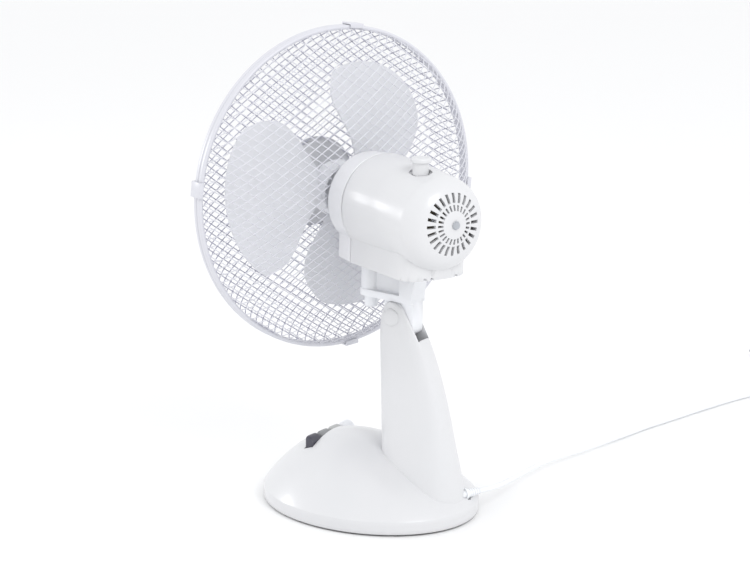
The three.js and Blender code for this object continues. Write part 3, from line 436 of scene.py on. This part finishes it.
def column_ring(z, count=96):
    half, front, rear = (between(z, k) for k in (1, 2, 3))
    growth = (FORK_SQUARENESS - FOOT_SQUARENESS) * min(z / SQUARE_FROM_Z, 1)
    power = 2 / (FOOT_SQUARENESS + growth)
    ring = []
    for i in range(count):
        c, s = math.cos(2 * math.pi * i / count), math.sin(2 * math.pi * i / count)
        ring.append((half * math.copysign(abs(c) ** power, c),
                     (front + rear) / 2 + (rear - front) / 2 * math.copysign(abs(s) ** power, s), z))
    return ring


heights = [12 + i * 4 for i in range(47)]
heights += [202, 206, 210, 213, 216, 218.5, 220.5, 222, 223.2, 224.2, 225, 225.5]
column = stacked("column_cover", [column_ring(z) for z in heights], base_axes, 40)
pivot_axes = base_axes @ Matrix.Translation((0, PIVOT_Y, PIVOT_Z)) @ Matrix.Rotation(-math.pi / 2, 4, "Z")
slot_line = [(0, -FORK_HALF), (FORK_ROUND, -FORK_HALF), (FORK_ROUND, FORK_HALF), (0, FORK_HALF)]
slot_round = turned("fork_slot", slot_line, pivot_axes)
slot_front = block("fork_front", (-20, -60, 150), (20, FORK_FRONT_Y, 260), base_axes)
carve(slot_round, [slot_front])
recesses = []
for name, low, high in (("right", 12.4, 18), ("left", -18, -12.4)):
    recess_line = [(0, low), (RECESS_RADIUS, low), (RECESS_RADIUS, high), (0, high)]
    recesses.append(turned(f"recess_{name}", recess_line, pivot_axes))
cord_hole = turned("cord_hole", cord_way, relief_axes, 48)
carve(column, [slot_round, *recesses, cord_hole])
soften(column, 0.8, 3, 40)
place(column, "base", housing_abs, ["column"])

# %% [markdown]
# ## Caps over the tilt bolt
# A low domed cap presses over each end of the bolt, with a fine groove round it.

# %% Caps
cap_line = [
    (0, 17.1), (4, 17.05), (7.4, 16.8), (8.7, 16.2), (9.2, 15.5),
    (9.2, 14.4), (8.3, 14.2), (8.3, 12.9), (0, 12.9),
]
for side, name in ((1, "right"), (-1, "left")):
    cap = turned(f"bolt_cover_{name}", [(r, side * y) for r, y in cap_line], pivot_axes, 64)
    place(cap, "base", housing_abs, [f"tilt_cap_{name}"])

# %% [markdown]
# ## The neck
# The neck's shape in the CAD model is already right: a tongue in the fork, a boss round the swivel pin and
# a broad post behind. A moulding has no knife edges, though, so a merged copy gets its edges rounded.


# %% Rounded copies of CAD pieces
def rounded_copy(node, width_mm, angle=30, segments=2):
    source = frame["nodes"][node]
    copy = bpy.data.objects.new(f"{node}_rounded", source.data.copy())
    scene.collection.objects.link(copy)
    work = bmesh.new()
    work.from_mesh(copy.data)
    bmesh.ops.remove_doubles(work, verts=work.verts, dist=1e-6)
    bmesh.ops.dissolve_limit(work, angle_limit=math.radians(1.5), verts=work.verts, edges=work.edges)
    work.to_mesh(copy.data)
    work.free()
    return soften(copy, width_mm, segments, angle)


place(rounded_copy("neck", 1.0, 35, 3), "tilting_neck", shade_lifted_neck_abs, ["neck"])
place(rounded_copy("swivel_collar", 0.6), "tilting_neck", shade_lifted_neck_abs, ["swivel_collar"])

# %% [markdown]
# ## The motor housing
# Two covers meet at a seam: a short front cup and a long rear bullet. Seen along the fan's axis both are
# a keyhole, a circle with a straight-sided skirt below it. Each ring of points follows that keyhole, and
# the circle and the skirt shrink by their own rules towards the rear.

# %% Housing covers
FRONT_Y, SEAM_Y, REAR_END_Y = -14, 14.7, 136
SEAM_RADIUS, REAR_TAPER, REAR_DROP = 50.7, 3, 3.5
REAR_BEND_Y, REAR_BEND, REAR_DOME, DOME_RADIUS = 107, 25, 4, 22.7
SKIRT_Z, SKIRT_BEND_Y, SKIRT_REAR_Y = -58, 96, 116
SKIRT_HALF, SKIRT_END_HALF = 38.5, 12.5
HOUSING_WALL, INNER_HALF = 2.8, 35.7


def keyhole(y, radius, half, count=180):
    """The outline at one place along the axis: half is the skirt's half width, or 0 for none."""
    drop = REAR_DROP * min(max((y - SEAM_Y) / (REAR_BEND_Y - SEAM_Y), 0), 1) ** 2
    corner = math.atan2(-SKIRT_Z, half) if half else 0
    ring = []
    for i in range(count):
        turn = 2 * math.pi * i / count
        below = 2 * math.pi - turn
        if half and abs(below - corner) < math.pi / count:
            turn = 2 * math.pi - corner
        if half and abs(below - (math.pi - corner)) < math.pi / count:
            turn = math.pi + corner
        c, s = math.cos(turn), math.sin(turn)
        reach = radius
        if half and s < -1e-6:
            reach = max(radius, min(half / max(abs(c), 1e-9), SKIRT_Z / s))
        ring.append((reach * c, y, reach * s - (drop if reach == radius else 0)))
    return ring


def bullet_radius(y):
    """The rear cover's radius: a slow taper, then a round shoulder."""
    if y <= REAR_BEND_Y:
        return SEAM_RADIUS - REAR_TAPER * max((y - SEAM_Y) / (REAR_BEND_Y - SEAM_Y), 0) ** 2
    return DOME_RADIUS + REAR_BEND * math.cos(math.asin(min((y - REAR_BEND_Y) / REAR_BEND, 1)))


front_stations = [  # place along the axis, radius, half width of the skirt
    (-14, 46.2, 31.6), (-13.6, 47.2, 32.5), (-12.6, 47.8, 33.1), (-10, 48.1, 33.6), (-2, 48.8, 35),
    (6, 49.6, 36.5), (11.8, 50.1, 37.7), (12.8, 50.2, 37.7), (13.4, 49.4, 37),
]
front_cover = stacked("housing_front", [keyhole(*row) for row in front_stations], head_axes, 40)
rear_rings = [keyhole(15.4, 49.8, 37.7), keyhole(15.8, 50.5, 38.3), keyhole(16.6, SEAM_RADIUS, SKIRT_HALF)]
for y in [20, 28, 38, 50, 62, 74, 84, 92, 96]:
    rear_rings.append(keyhole(y, bullet_radius(y), SKIRT_HALF))
for step in range(1, 13):
    turn = math.pi / 2 * step / 12
    y = SKIRT_BEND_Y + (SKIRT_REAR_Y - SKIRT_BEND_Y) * math.sin(turn)
    half = SKIRT_END_HALF + (SKIRT_HALF - SKIRT_END_HALF) * math.cos(turn)
    rear_rings.append(keyhole(y, bullet_radius(y), half))
for step in range(4, 13):
    turn = math.pi / 2 * step / 12
    y = REAR_BEND_Y + REAR_BEND * math.sin(turn)
    if y > SKIRT_REAR_Y + 0.5:
        rear_rings.append(keyhole(y, DOME_RADIUS + REAR_BEND * math.cos(turn), 0))
for radius in (20, 14, 8, 3):
    rise = REAR_DOME * (1 - (radius / DOME_RADIUS) ** 2)
    rear_rings.append(keyhole(REAR_BEND_Y + REAR_BEND + rise, radius, 0))
rear_cover = stacked("housing_rear", rear_rings, head_axes, 30)
inner_rings = [keyhole(14, 47.9, INNER_HALF)]
inner_rings += [keyhole(y, bullet_radius(y) - HOUSING_WALL, INNER_HALF) for y in (30, 60, 90)]
inner_end = [(113, 41, 12), (122, 35, 0), (128, 26, 0), (130.5, 14, 0), (131.5, 3, 0)]
inner_rings += [keyhole(*station) for station in inner_end]
hollow = stacked("housing_hollow", inner_rings, head_axes)
print("housing is", REAR_END_Y - FRONT_Y, "mm long")

# %% [markdown]
# ## Cooling slots
# Two rings of short radial slots let the motor's heat out at the rear. The slots repeat round a circle, so
# Geometry Nodes make the cutters: points on a circle, one thin box on each, turned to point outwards.


# %% Slot cutters
def slot_tree():
    tree = bpy.data.node_groups.new("slot_ring", "GeometryNodeTree")
    names = {}
    for name in ("Count", "Radius", "Length", "Width"):
        kind = "NodeSocketInt" if name == "Count" else "NodeSocketFloat"
        names[name] = tree.interface.new_socket(name, in_out="INPUT", socket_type=kind).identifier
    tree.interface.new_socket("Geometry", in_out="OUTPUT", socket_type="NodeSocketGeometry")
    given = add_node(tree, "NodeGroupInput").outputs
    circle = add_node(tree, "GeometryNodeMeshCircle", {"Vertices": given["Count"], "Radius": given["Radius"]})
    sides = {"X": given["Length"], "Y": given["Width"], "Z": 40.0}
    size = add_node(tree, "ShaderNodeCombineXYZ", sides)
    cutter = add_node(tree, "GeometryNodeMeshCube", {"Size": size.outputs["Vector"]})
    spot = add_node(tree, "GeometryNodeInputPosition")
    outwards = {"Vector": spot.outputs["Position"]}
    heading = add_node(tree, "FunctionNodeAlignRotationToVector", outwards, axis="X")
    copies = add_node(tree, "GeometryNodeInstanceOnPoints", {
        "Points": circle.outputs["Mesh"],
        "Instance": cutter.outputs["Mesh"],
        "Rotation": heading.outputs["Rotation"],
    })
    real = add_node(tree, "GeometryNodeRealizeInstances", {"Geometry": copies.outputs["Instances"]})
    finished = {"Geometry": real.outputs["Geometry"], "Material": housing_abs}
    dressed = add_node(tree, "GeometryNodeSetMaterial", finished)
    add_node(tree, "NodeGroupOutput", {"Geometry": dressed.outputs["Geometry"]})
    return tree, names


slot_ring, slot_names = slot_tree()


def slots(name, axes, **sizes):
    holder = mesh_piece(name, [], [], Matrix())
    nodes = holder.modifiers.new("slots", "NODES")
    nodes.node_group = slot_ring
    for key, value in sizes.items():
        nodes[slot_names[key]] = value
    as_plain_mesh(holder)
    holder.data.transform(axes)
    return holder


SLOT_COUNT = 24
SCALLOP_COUNT, SCALLOP_PITCH, SCALLOP_RADIUS = 6, 7.6, 2.3
KNOB_X, KNOB_Y = 10, 90
FLOOR_OPENING = 24.5  # radius of the hole in the housing's floor, round the swivel pin
end_axes = head_axes @ Matrix.Translation((0, REAR_END_Y, 0)) @ Matrix.Rotation(math.pi / 2, 4, "X")
outer_slots = slots("outer_slots", end_axes, Count=SLOT_COUNT, Radius=26.2, Length=9.4, Width=3.1)
inner_slots = slots("inner_slots", end_axes, Count=SLOT_COUNT, Radius=16.6, Length=5.6, Width=2.1)
scallop_line = [(0, 111), (SCALLOP_RADIUS, 111), (SCALLOP_RADIUS, 122), (0, 122)]
scallops = []
for i in range(SCALLOP_COUNT):
    across = (i - (SCALLOP_COUNT - 1) / 2) * SCALLOP_PITCH
    at = head_axes @ Matrix.Translation((across, 0, SKIRT_Z + 0.8))
    scallops.append(turned(f"scallop_{i}", scallop_line, at, 24))
knob_at = head_axes @ Matrix.Translation((KNOB_X, KNOB_Y, 0))
knob_hole_line = [(0, 38), (8.9, 38), (8.9, 43), (11.6, 43.6), (11.6, 70), (0, 70)]
knob_hole = turned("knob_hole", knob_hole_line, knob_at, 48, "Z")
under_line = [(0, -70), (FLOOR_OPENING, -70), (FLOOR_OPENING, -46), (0, -46)]
under_hole = turned("under_hole", under_line, head_axes, 64, "Z")
dimple_line = [(0, 135.3), (1.6, 135.3), (2.4, 140), (0, 140)]
centre_dimple = turned("centre_dimple", dimple_line, head_axes, 32)
carve(rear_cover, [hollow], keep=True)
bpy.data.objects.remove(hollow)
carve(rear_cover, [outer_slots, inner_slots, *scallops, knob_hole, centre_dimple])
carve(rear_cover, [under_hole], keep=True)
carve(front_cover, [under_hole])
for cover in (rear_cover, front_cover):
    tidy(cover, 30)
place(front_cover, "swinging_head", shade_lifted_cover_abs, ["motor_front_cover"])
place(rear_cover, "swinging_head", housing_abs, ["motor_rear_cover"])

# %% [markdown]
# ## The oscillation knob
# Pushed down it lets the head swing, and pulled up it stops it. A plain stem with a flanged, gently
# dished cap.

# %% Knob
knob_line = [  # radius and height, from the foot of the spindle to the middle of the cap
    (0, 10), (2, 10), (2, 36), (8, 36), (8, 54.2), (10.5, 55.4), (10.5, 58.6), (9, 60), (5, 59.6), (0, 59.3),
]
knob = turned("swing_knob", rounded(knob_line, 0.7), knob_at, 64, "Z")
place(knob, "knob", housing_abs, ["oscillation_knob"])

# %% [markdown]
# ## The wire guards
# Each guard is a dish of thin wires in two slanting families that cross in diamonds. Laying hundreds of
# wires by hand would be slow and uneven, so Geometry Nodes lay straight wires side by side, slant them,
# push every point onto the dish, cut them at the rim and the middle, and give them thickness.


# %% Guard tree
GUARD_SIZES = (  # millimetres, apart from the slant in radians and the power
    ("Edge", 168.3), ("Middle", 40.0), ("Spacing", 8.0), ("Slant", 0.588), ("Wire", 0.6),
    ("Centre", -17.0), ("Bowl", -30.0), ("Bowl Power", 2.3), ("Roll", -16.0),
)
WIRE_STEP, WIRE_POINTS, WIRE_COUNT = 3.5, 99, 42
ROLL_POWER = 14.0  # so steep that only the last few centimetres roll over towards the rim
FAMILY_OFFSET = 0.8  # of a wire's radius: one family lies in front of the dish, the other behind


def guard_tree():
    tree = bpy.data.node_groups.new("wire_dish", "GeometryNodeTree")
    names = {}
    for name, start in GUARD_SIZES:
        socket = tree.interface.new_socket(name, in_out="INPUT", socket_type="NodeSocketFloat")
        socket.default_value = start
        names[name] = socket.identifier
    look = tree.interface.new_socket("Material", in_out="INPUT", socket_type="NodeSocketMaterial")
    names["Material"] = look.identifier
    tree.interface.new_socket("Geometry", in_out="OUTPUT", socket_type="NodeSocketGeometry")
    given = add_node(tree, "NodeGroupInput").outputs

    def worked_out(kind, a, b, c=None):
        values = {0: a, 1: b} if c is None else {0: a, 1: b, 2: c}
        return add_node(tree, "ShaderNodeMath", values, operation=kind).outputs[0]

    def vector(**sides):
        return add_node(tree, "ShaderNodeCombineXYZ", sides).outputs[0]

    # One straight wire of short steps, and one point where each wire of a family starts.
    wire = add_node(tree, "GeometryNodeMeshLine", {
        "Count": WIRE_POINTS,
        "Start Location": vector(X=worked_out("MULTIPLY", given["Edge"], -1.02)),
        "Offset": vector(X=WIRE_STEP),
    })
    rows = add_node(tree, "GeometryNodeMeshLine", {
        "Count": WIRE_COUNT,
        "Start Location": vector(Z=worked_out("MULTIPLY", given["Spacing"], -(WIRE_COUNT - 1) / 2)),
        "Offset": vector(Z=given["Spacing"]),
    })
    laid = {"Points": rows.outputs["Mesh"], "Instance": wire.outputs["Mesh"]}
    family = add_node(tree, "GeometryNodeInstanceOnPoints", laid).outputs["Instances"]
    flat = add_node(tree, "GeometryNodeRealizeInstances", {"Geometry": family}).outputs["Geometry"]
    both = add_node(tree, "GeometryNodeJoinGeometry")
    for side in (1, -1):
        slant = vector(Y=worked_out("MULTIPLY", given["Slant"], side))
        slanted = {"Geometry": flat, "Rotation": slant}
        turn = add_node(tree, "GeometryNodeTransform", slanted).outputs["Geometry"]
        spot = add_node(tree, "GeometryNodeInputPosition").outputs[0]
        split = add_node(tree, "ShaderNodeSeparateXYZ", {0: spot}).outputs
        radius = add_node(tree, "ShaderNodeVectorMath", {0: spot}, operation="LENGTH").outputs["Value"]
        share = worked_out("DIVIDE", radius, given["Edge"])
        bowl = worked_out("MULTIPLY", given["Bowl"], worked_out("POWER", share, given["Bowl Power"]))
        roll = worked_out("MULTIPLY_ADD", given["Roll"], worked_out("POWER", share, ROLL_POWER), bowl)
        dish = worked_out("ADD", given["Centre"], roll)
        lift = worked_out("MULTIPLY_ADD", given["Wire"], FAMILY_OFFSET * side, dish)
        past_rim = {0: radius, 1: given["Edge"]}
        past = add_node(tree, "FunctionNodeCompare", past_rim, operation="GREATER_THAN").outputs[0]
        in_hole = {0: radius, 1: given["Middle"]}
        inside = add_node(tree, "FunctionNodeCompare", in_hole, operation="LESS_THAN").outputs[0]
        stray = add_node(tree, "FunctionNodeBooleanMath", {0: past, 1: inside}, operation="OR").outputs[0]
        cut = {"Geometry": turn, "Selection": stray}
        kept = add_node(tree, "GeometryNodeDeleteGeometry", cut, domain="POINT").outputs["Geometry"]
        dished = {"Geometry": kept, "Position": vector(X=split["X"], Y=lift, Z=split["Z"])}
        bent = add_node(tree, "GeometryNodeSetPosition", dished).outputs["Geometry"]
        tree.links.new(bent, both.inputs["Geometry"])
    lines = add_node(tree, "GeometryNodeMeshToCurve", {"Mesh": both.outputs["Geometry"]}).outputs["Curve"]
    round_wire = {"Resolution": 6, "Radius": given["Wire"]}
    section = add_node(tree, "GeometryNodeCurvePrimitiveCircle", round_wire).outputs["Curve"]
    swept = {"Curve": lines, "Profile Curve": section, "Fill Caps": True}
    thick = add_node(tree, "GeometryNodeCurveToMesh", swept).outputs["Mesh"]
    real = add_node(tree, "GeometryNodeRealizeInstances", {"Geometry": thick}).outputs["Geometry"]
    finished = {"Geometry": real, "Material": given["Material"]}
    dressed = add_node(tree, "GeometryNodeSetMaterial", finished).outputs["Geometry"]
    add_node(tree, "NodeGroupOutput", {"Geometry": dressed})
    return tree, names


wire_dish, dish_names = guard_tree()


def guard(name, look, **sizes):
    holder = mesh_piece(name, [], [], Matrix())
    nodes = holder.modifiers.new("wires", "NODES")
    nodes.node_group = wire_dish
    nodes[dish_names["Material"]] = look
    for key, value in sizes.items():
        nodes[dish_names[key.replace("_", " ")]] = float(value)
    as_plain_mesh(holder)
    holder.data.transform(head_axes)
    return tidy(holder, 60)


rear_wires = guard("rear_wire_dish", wire_coating,
                   Middle=40, Centre=-17.4, Bowl=-30, Bowl_Power=2.3, Roll=-16)
place(rear_wires, "swinging_head", wire_coating, ["rear_guard"])
front_wires = guard("front_wire_dish", shaded_front_coating,
                    Middle=44, Centre=-107.2, Bowl=19, Bowl_Power=2, Roll=22)
place(front_wires, "swinging_head", shaded_front_coating, ["front_guard"])

# %% [markdown]
# ## The rim, its clips and the middle of the guards
# A two-lipped band closes the edges of both guards, and four clips snap over it.

# %% Rim, clips, seat, nut and badge
RIM_Y = -65.5
rim_line = [  # radius and place across the band, with the groove between its two lips in the middle
    (165.6, -5.6), (168.2, -6.5), (170, -5), (170, -1), (169.2, -0.4),
    (169.2, 0.4), (170, 1), (170, 5), (168.2, 6.5), (165.6, 5.6),
]
rim = turned("rim_hoop", [(r, y + RIM_Y) for r, y in rounded(rim_line, 0.7, 3, True)], head_axes, 240)
place(rim, "swinging_head", rim_abs, ["rim_band"])
for n in range(1, 5):
    place(rounded_copy(f"guard_clip_{n}", 0.6), "swinging_head", rim_abs, [f"guard_clip_{n}"])
seat_line = rounded([(18.3, -16.9), (42, -16.9), (42, -14.3), (18.3, -14.3)], 0.6, 2, True)
seat = turned("guard_seat_ring", seat_line, head_axes, 96)
place(seat, "swinging_head", housing_abs, ["guard_seat"])
nut_line = rounded([(9, -22.5), (40, -22.5), (44, -19.5), (9, -19.5)], 0.6, 2, True)
nut = turned("guard_ring_nut", nut_line, head_axes, 96)
place(nut, "swinging_head", housing_abs, ["guard_nut"])
badge_line = [
    (0, -111), (32, -110.4), (46, -108.6), (48, -107.6),
    (48, -106.4), (44, -106.2), (44, -103.4), (0, -103.4),
]
badge = turned("front_badge_disc", rounded(badge_line, 0.8), head_axes, 128)
place(badge, "swinging_head", housing_abs, ["front_badge"])

# %% [markdown]
# ## The blades
# Three broad blades grow from a cupped hub. Each is a twisted sheet with a rounded outline, written as one
# rule over how far out and how far across a point is, then given thickness.

# %% Blades
HUB_RADIUS, BLADE_REACH, BLADE_COUNT = 30, 136, 3
BLADE_TURN, BLADE_THICKNESS = math.radians(73), 0.0021


def blade_point(out, share):
    rounding = math.sqrt(1 - (0.86 * share) ** 2)
    reach = HUB_RADIUS - 4 + (BLADE_REACH - HUB_RADIUS + 4) * out * (0.82 + 0.18 * rounding)
    half_angle = 0.47 + 0.38 * math.sin(min(out * 1.15, 1) * math.pi * 0.55) - 0.22 * out ** 4
    depth = 12 + 5 * math.sin(out * math.pi * 0.8)
    angle = half_angle * share + 0.35 * out
    return (reach * math.sin(angle), -60 - 5 * out + depth * share, reach * math.cos(angle))


def blade_sheet(name, turn):
    outs, shares = 30, 30
    points = [blade_point(i / outs, 2 * j / shares - 1) for i in range(outs + 1) for j in range(shares + 1)]
    faces = []
    for i in range(outs):
        for j in range(shares):
            a = i * (shares + 1) + j
            faces.append((a, a + 1, a + shares + 2, a + shares + 1))
    sheet = mesh_piece(name, points, faces, head_axes @ Matrix.Rotation(turn, 4, "Y"))
    wall = sheet.modifiers.new("wall", "SOLIDIFY")
    wall.thickness = BLADE_THICKNESS
    wall.offset = 0
    return sheet


parts = [blade_sheet(f"blade_{i}", BLADE_TURN + i * math.tau / BLADE_COUNT) for i in range(BLADE_COUNT)]
hub_line = [  # radius and place along the axis, round the cup and its inner sleeve
    (4.1, -74), (23, -74), (28.5, -72.6), (30, -68), (30, -46),
    (27.2, -46), (27.2, -69), (9, -69), (9, -48), (4.1, -48),
]
hub = turned("blade_hub", rounded(hub_line, 0.8, 3, True), head_axes, 96)
for part in parts:
    as_plain_mesh(part)
    tidy(part, 40)
bpy.ops.object.select_all(action="DESELECT")
for part in [*parts, hub]:
    part.select_set(True)
bpy.context.view_layer.objects.active = hub
bpy.ops.object.join()
hub.name = "blades_and_hub"
place(hub, "blades", blade_pp, ["fan_blade"])
spinner_line = [(0, -83), (6, -82.6), (10, -80), (12, -74.3), (4.1, -74.3), (4.1, -80.3), (0, -80.3)]
spinner = turned("spinner_nut", rounded(spinner_line, 0.8), head_axes, 64)
place(spinner, "blades", blade_pp, ["blade_nut"])

# %% [markdown]
# ## The cord
# A round two-core lead of 5.8 mm, about 1.6 m long, leaves the column through a tapered sleeve, sinks to
# the floor and runs straight on. The rest is wound in a small coil with the plug beside it.

# %% Cord route
CORD_RADIUS = 2.9
SLEEVE_LENGTH = 22.3
sleeve_tip = relief_start + relief_heading * SLEEVE_LENGTH
route = [
    (-35, 99.9, 25.4), (-42, 102.1, 25.1), (-54, 104.4, 24.3), (-70, 104.6, 22.9),
    (-92, 101.6, 20.6), (-118, 97.4, 18.1), (-152, 92.6, 15.1), (-191, 89.2, 11.9),
    (-224, 90.8, 9.4), (-254, 94, 7.2), (-284, 96.4, 5.4), (-318, 99.4, 4),
    (-352, 103.4, 3.2), (-388, 108.6, 3.1), (-424, 116, 3.1), (-457, 122.9, 3.1),
    (-490, 129.7, 3.1), (-524, 137.4, 3.1), (-557, 145.6, 3.1), (-590, 156.2, 3.1),
    (-622, 168.6, 3.1), (-652, 182.6, 3.1), (-681.5, 195.5, 3.1),
]
COIL_X, COIL_Y, COIL_START, COIL_PITCH = -724, 168, 40.0, 5.95
COIL_TURNS, COIL_CLIMB, FLOOR_LAYER_Z, TOP_LAYER_Z = 2, 0.297, 3.1, 9.0
POINTS_A_TURN = 20


def coil_points():
    """On the floor the turns run inwards, climb over about 0.3 of a turn, and run out again on top."""
    first = math.radians(73)
    rows = []
    total = 2 * COIL_TURNS + COIL_CLIMB
    inner = COIL_START - COIL_PITCH * COIL_TURNS
    for i in range(int(total * POINTS_A_TURN) + 1):
        done = i / POINTS_A_TURN
        if done < COIL_TURNS:
            radius, height = COIL_START - COIL_PITCH * done, FLOOR_LAYER_Z
        elif done < COIL_TURNS + COIL_CLIMB:
            share = (done - COIL_TURNS) / COIL_CLIMB
            rise = (TOP_LAYER_Z - FLOOR_LAYER_Z) * share * share * (3 - 2 * share)
            radius, height = inner, FLOOR_LAYER_Z + rise
        else:
            radius, height = COIL_START - COIL_PITCH * (total - done), TOP_LAYER_Z
        turn = first + 2 * math.pi * done
        rows.append((COIL_X + radius * math.cos(turn), COIL_Y + radius * math.sin(turn), height))
    return rows


def smooth_line(points, step=2.4):
    """Evenly spaced points on a smooth curve through the given ones."""
    fine = []
    for i in range(len(points) - 1):
        a, b, c, d = (points[min(max(i + k, 0), len(points) - 1)] for k in (-1, 0, 1, 2))
        for s in range(24):
            t = s / 24
            bend = (a * 2 - b * 5 + c * 4 - d) * t * t + (b * 3 - a - c * 3 + d) * t ** 3
            fine.append(b + ((c - a) * t + bend) / 2)
    fine.append(points[-1])
    line, carried = [fine[0]], 0
    for a, b in zip(fine, fine[1:]):
        carried += (b - a).length
        if carried >= step:
            line.append(b)
            carried = 0
    if (line[-1] - fine[-1]).length > 0.3:
        line.append(fine[-1])
    return line


def tube(name, line, radius, axes, sides=14):
    """A round tube along a line, without twist, with a flat cap at each end."""
    side = Vector((0, 0, 1)).cross(line[1] - line[0]).normalized()
    rings = []
    for i, here in enumerate(line):
        along = (line[min(i + 1, len(line) - 1)] - line[max(i - 1, 0)]).normalized()
        side = (side - along * side.dot(along)).normalized()
        up = along.cross(side)
        turns = [k * math.tau / sides for k in range(sides)]
        rings.append([here + (side * math.cos(t) + up * math.sin(t)) * radius for t in turns])
    return stacked(name, rings, axes, 60)


off_the_coil = Vector((COIL_X - 42.1, COIL_Y - 9.5, 8.0))
into_the_plug = Vector((COIL_X - 43.5, COIL_Y - 19.8, 7.2))
laid_points = [Vector(p) for p in [*route, *coil_points()]]
cord_line = smooth_line([sleeve_tip, *laid_points, off_the_coil, into_the_plug])
cord = tube("mains_cord", cord_line, CORD_RADIUS, base_axes)

# %% [markdown]
# ## The cord's sleeve and plug
# The sleeve's grooves let it bend little by little. The plug is a flat moulded body with two round pins.

# %% Sleeve and plug
sleeve_line = [(0, -6), (4.6, -6), (4.6, 3), (6.5, 3.2), (6.6, 4.8), (5, 5.6), (4.9, 6.4)]
RIB_COUNT, RIB_PITCH, RIB_TAPER, RIB_DEPTH = 5, 3, 0.26, 0.8
for i in range(RIB_COUNT):
    at, radius = 6.4 + i * RIB_PITCH, 4.8 - i * RIB_TAPER
    sleeve_line += [(radius, at + 0.3), (radius - 0.05, at + 1.9)]
    sleeve_line += [(radius - RIB_DEPTH, at + 2.1), (radius - RIB_DEPTH, at + 2.8)]
    sleeve_line.append((radius - 0.2, at + RIB_PITCH))
sleeve_line += [(3.5, 21.7), (3.2, 22), (0, 22)]
sleeve = turned("cord_sleeve", sleeve_line, relief_axes, 40)
place(sleeve, "base", cord_pvc, ["strain_relief"])
plug = rounded_copy("plug_body", 1.4, 40, 3)
place(plug, "base", cord_pvc, ["plug_body"])
place(cord, "base", cord_pvc, ["power_cord", "cord_coil"])

# %% [markdown]
# ## Everything carried over
# Pieces inside the housing and under the base keep their CAD shape and take the finish of what they are.

# %% Finishes for the pieces kept from CAD
by_slot = {
    "white_plastic": housing_abs, "guard_wire": rim_abs, "blade_plastic": blade_pp,
    "steel": zinc, "lamination": sheets, "copper": enamelled_copper,
    "bush_metal": sintered_bronze, "bracket_metal": cast_aluminium, "foot_rubber": foot_rubber,
    "gear_plastic": natural_nylon, "cord_plastic": cord_pvc,
}
slot_of = {row["node"]: row["material_slot"] for row in frame["record"]["subparts"]}
kept = 0
for node, piece in frame["nodes"].items():
    if slot_of[node] in by_slot:
        piece.data.materials.clear()
        piece.data.materials.append(by_slot[slot_of[node]])
        kept += 1
print("CAD pieces given a finish:", kept)

# %% [markdown]
# ## Floor and light
# A plain white floor and an even white surround, with one large soft light from above and to the right so
# that the glossy housing gets a highlight, and a weaker one from the left.

# %% Floor and lights
floor_look = bpy.data.materials.new("studio_floor")
floor_look.use_nodes = True
floor_surface = floor_look.node_tree.nodes["Principled BSDF"]
floor_surface.inputs["Base Color"].default_value = (0.9, 0.9, 0.9, 1)
floor_surface.inputs["Roughness"].default_value = 0.9
FLOOR_HALF, FLOOR_Z = 40, -0.0004  # metres: a hair under the feet
floor_corners = [(x * FLOOR_HALF, y * FLOOR_HALF, FLOOR_Z) for x, y in ((-1, -1), (1, -1), (1, 1), (-1, 1))]
floor = mesh_piece("studio_floor", floor_corners, [(0, 1, 2, 3)], Matrix())
floor.data.materials.append(floor_look)
floor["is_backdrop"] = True

world = bpy.data.worlds.new("studio")
scene.world = world
world.use_nodes = True
world.node_tree.nodes["Background"].inputs["Color"].default_value = (0.985, 0.99, 1, 1)
world.node_tree.nodes["Background"].inputs["Strength"].default_value = 1.07


def soft_light(name, at, aim, size, watts):
    light = bpy.data.objects.new(name, bpy.data.lights.new(name, "AREA"))
    scene.collection.objects.link(light)
    light.data.shape, light.data.size, light.data.energy = "SQUARE", size, watts
    light.location = at
    light.rotation_euler = (Vector(aim) - Vector(at)).to_track_quat("-Z", "Y").to_euler()
    return light


soft_light("key_light", (0.9, 2.2, 2.2), (0, 0, 0.3), 1.2, 24)
soft_light("side_light", (0.9, -2.2, 0.8), (0.1, 0.1, 0.33), 0.5, 9)
scene.view_settings.view_transform = "Standard"
scene.view_settings.exposure = 0.0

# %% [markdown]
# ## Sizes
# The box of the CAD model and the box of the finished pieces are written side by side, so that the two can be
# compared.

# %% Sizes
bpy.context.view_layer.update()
for label, box in (("CAD box", cad_box), ("visual box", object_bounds())):
    print(label, [[round(v, 3) for v in corner] for corner in box])
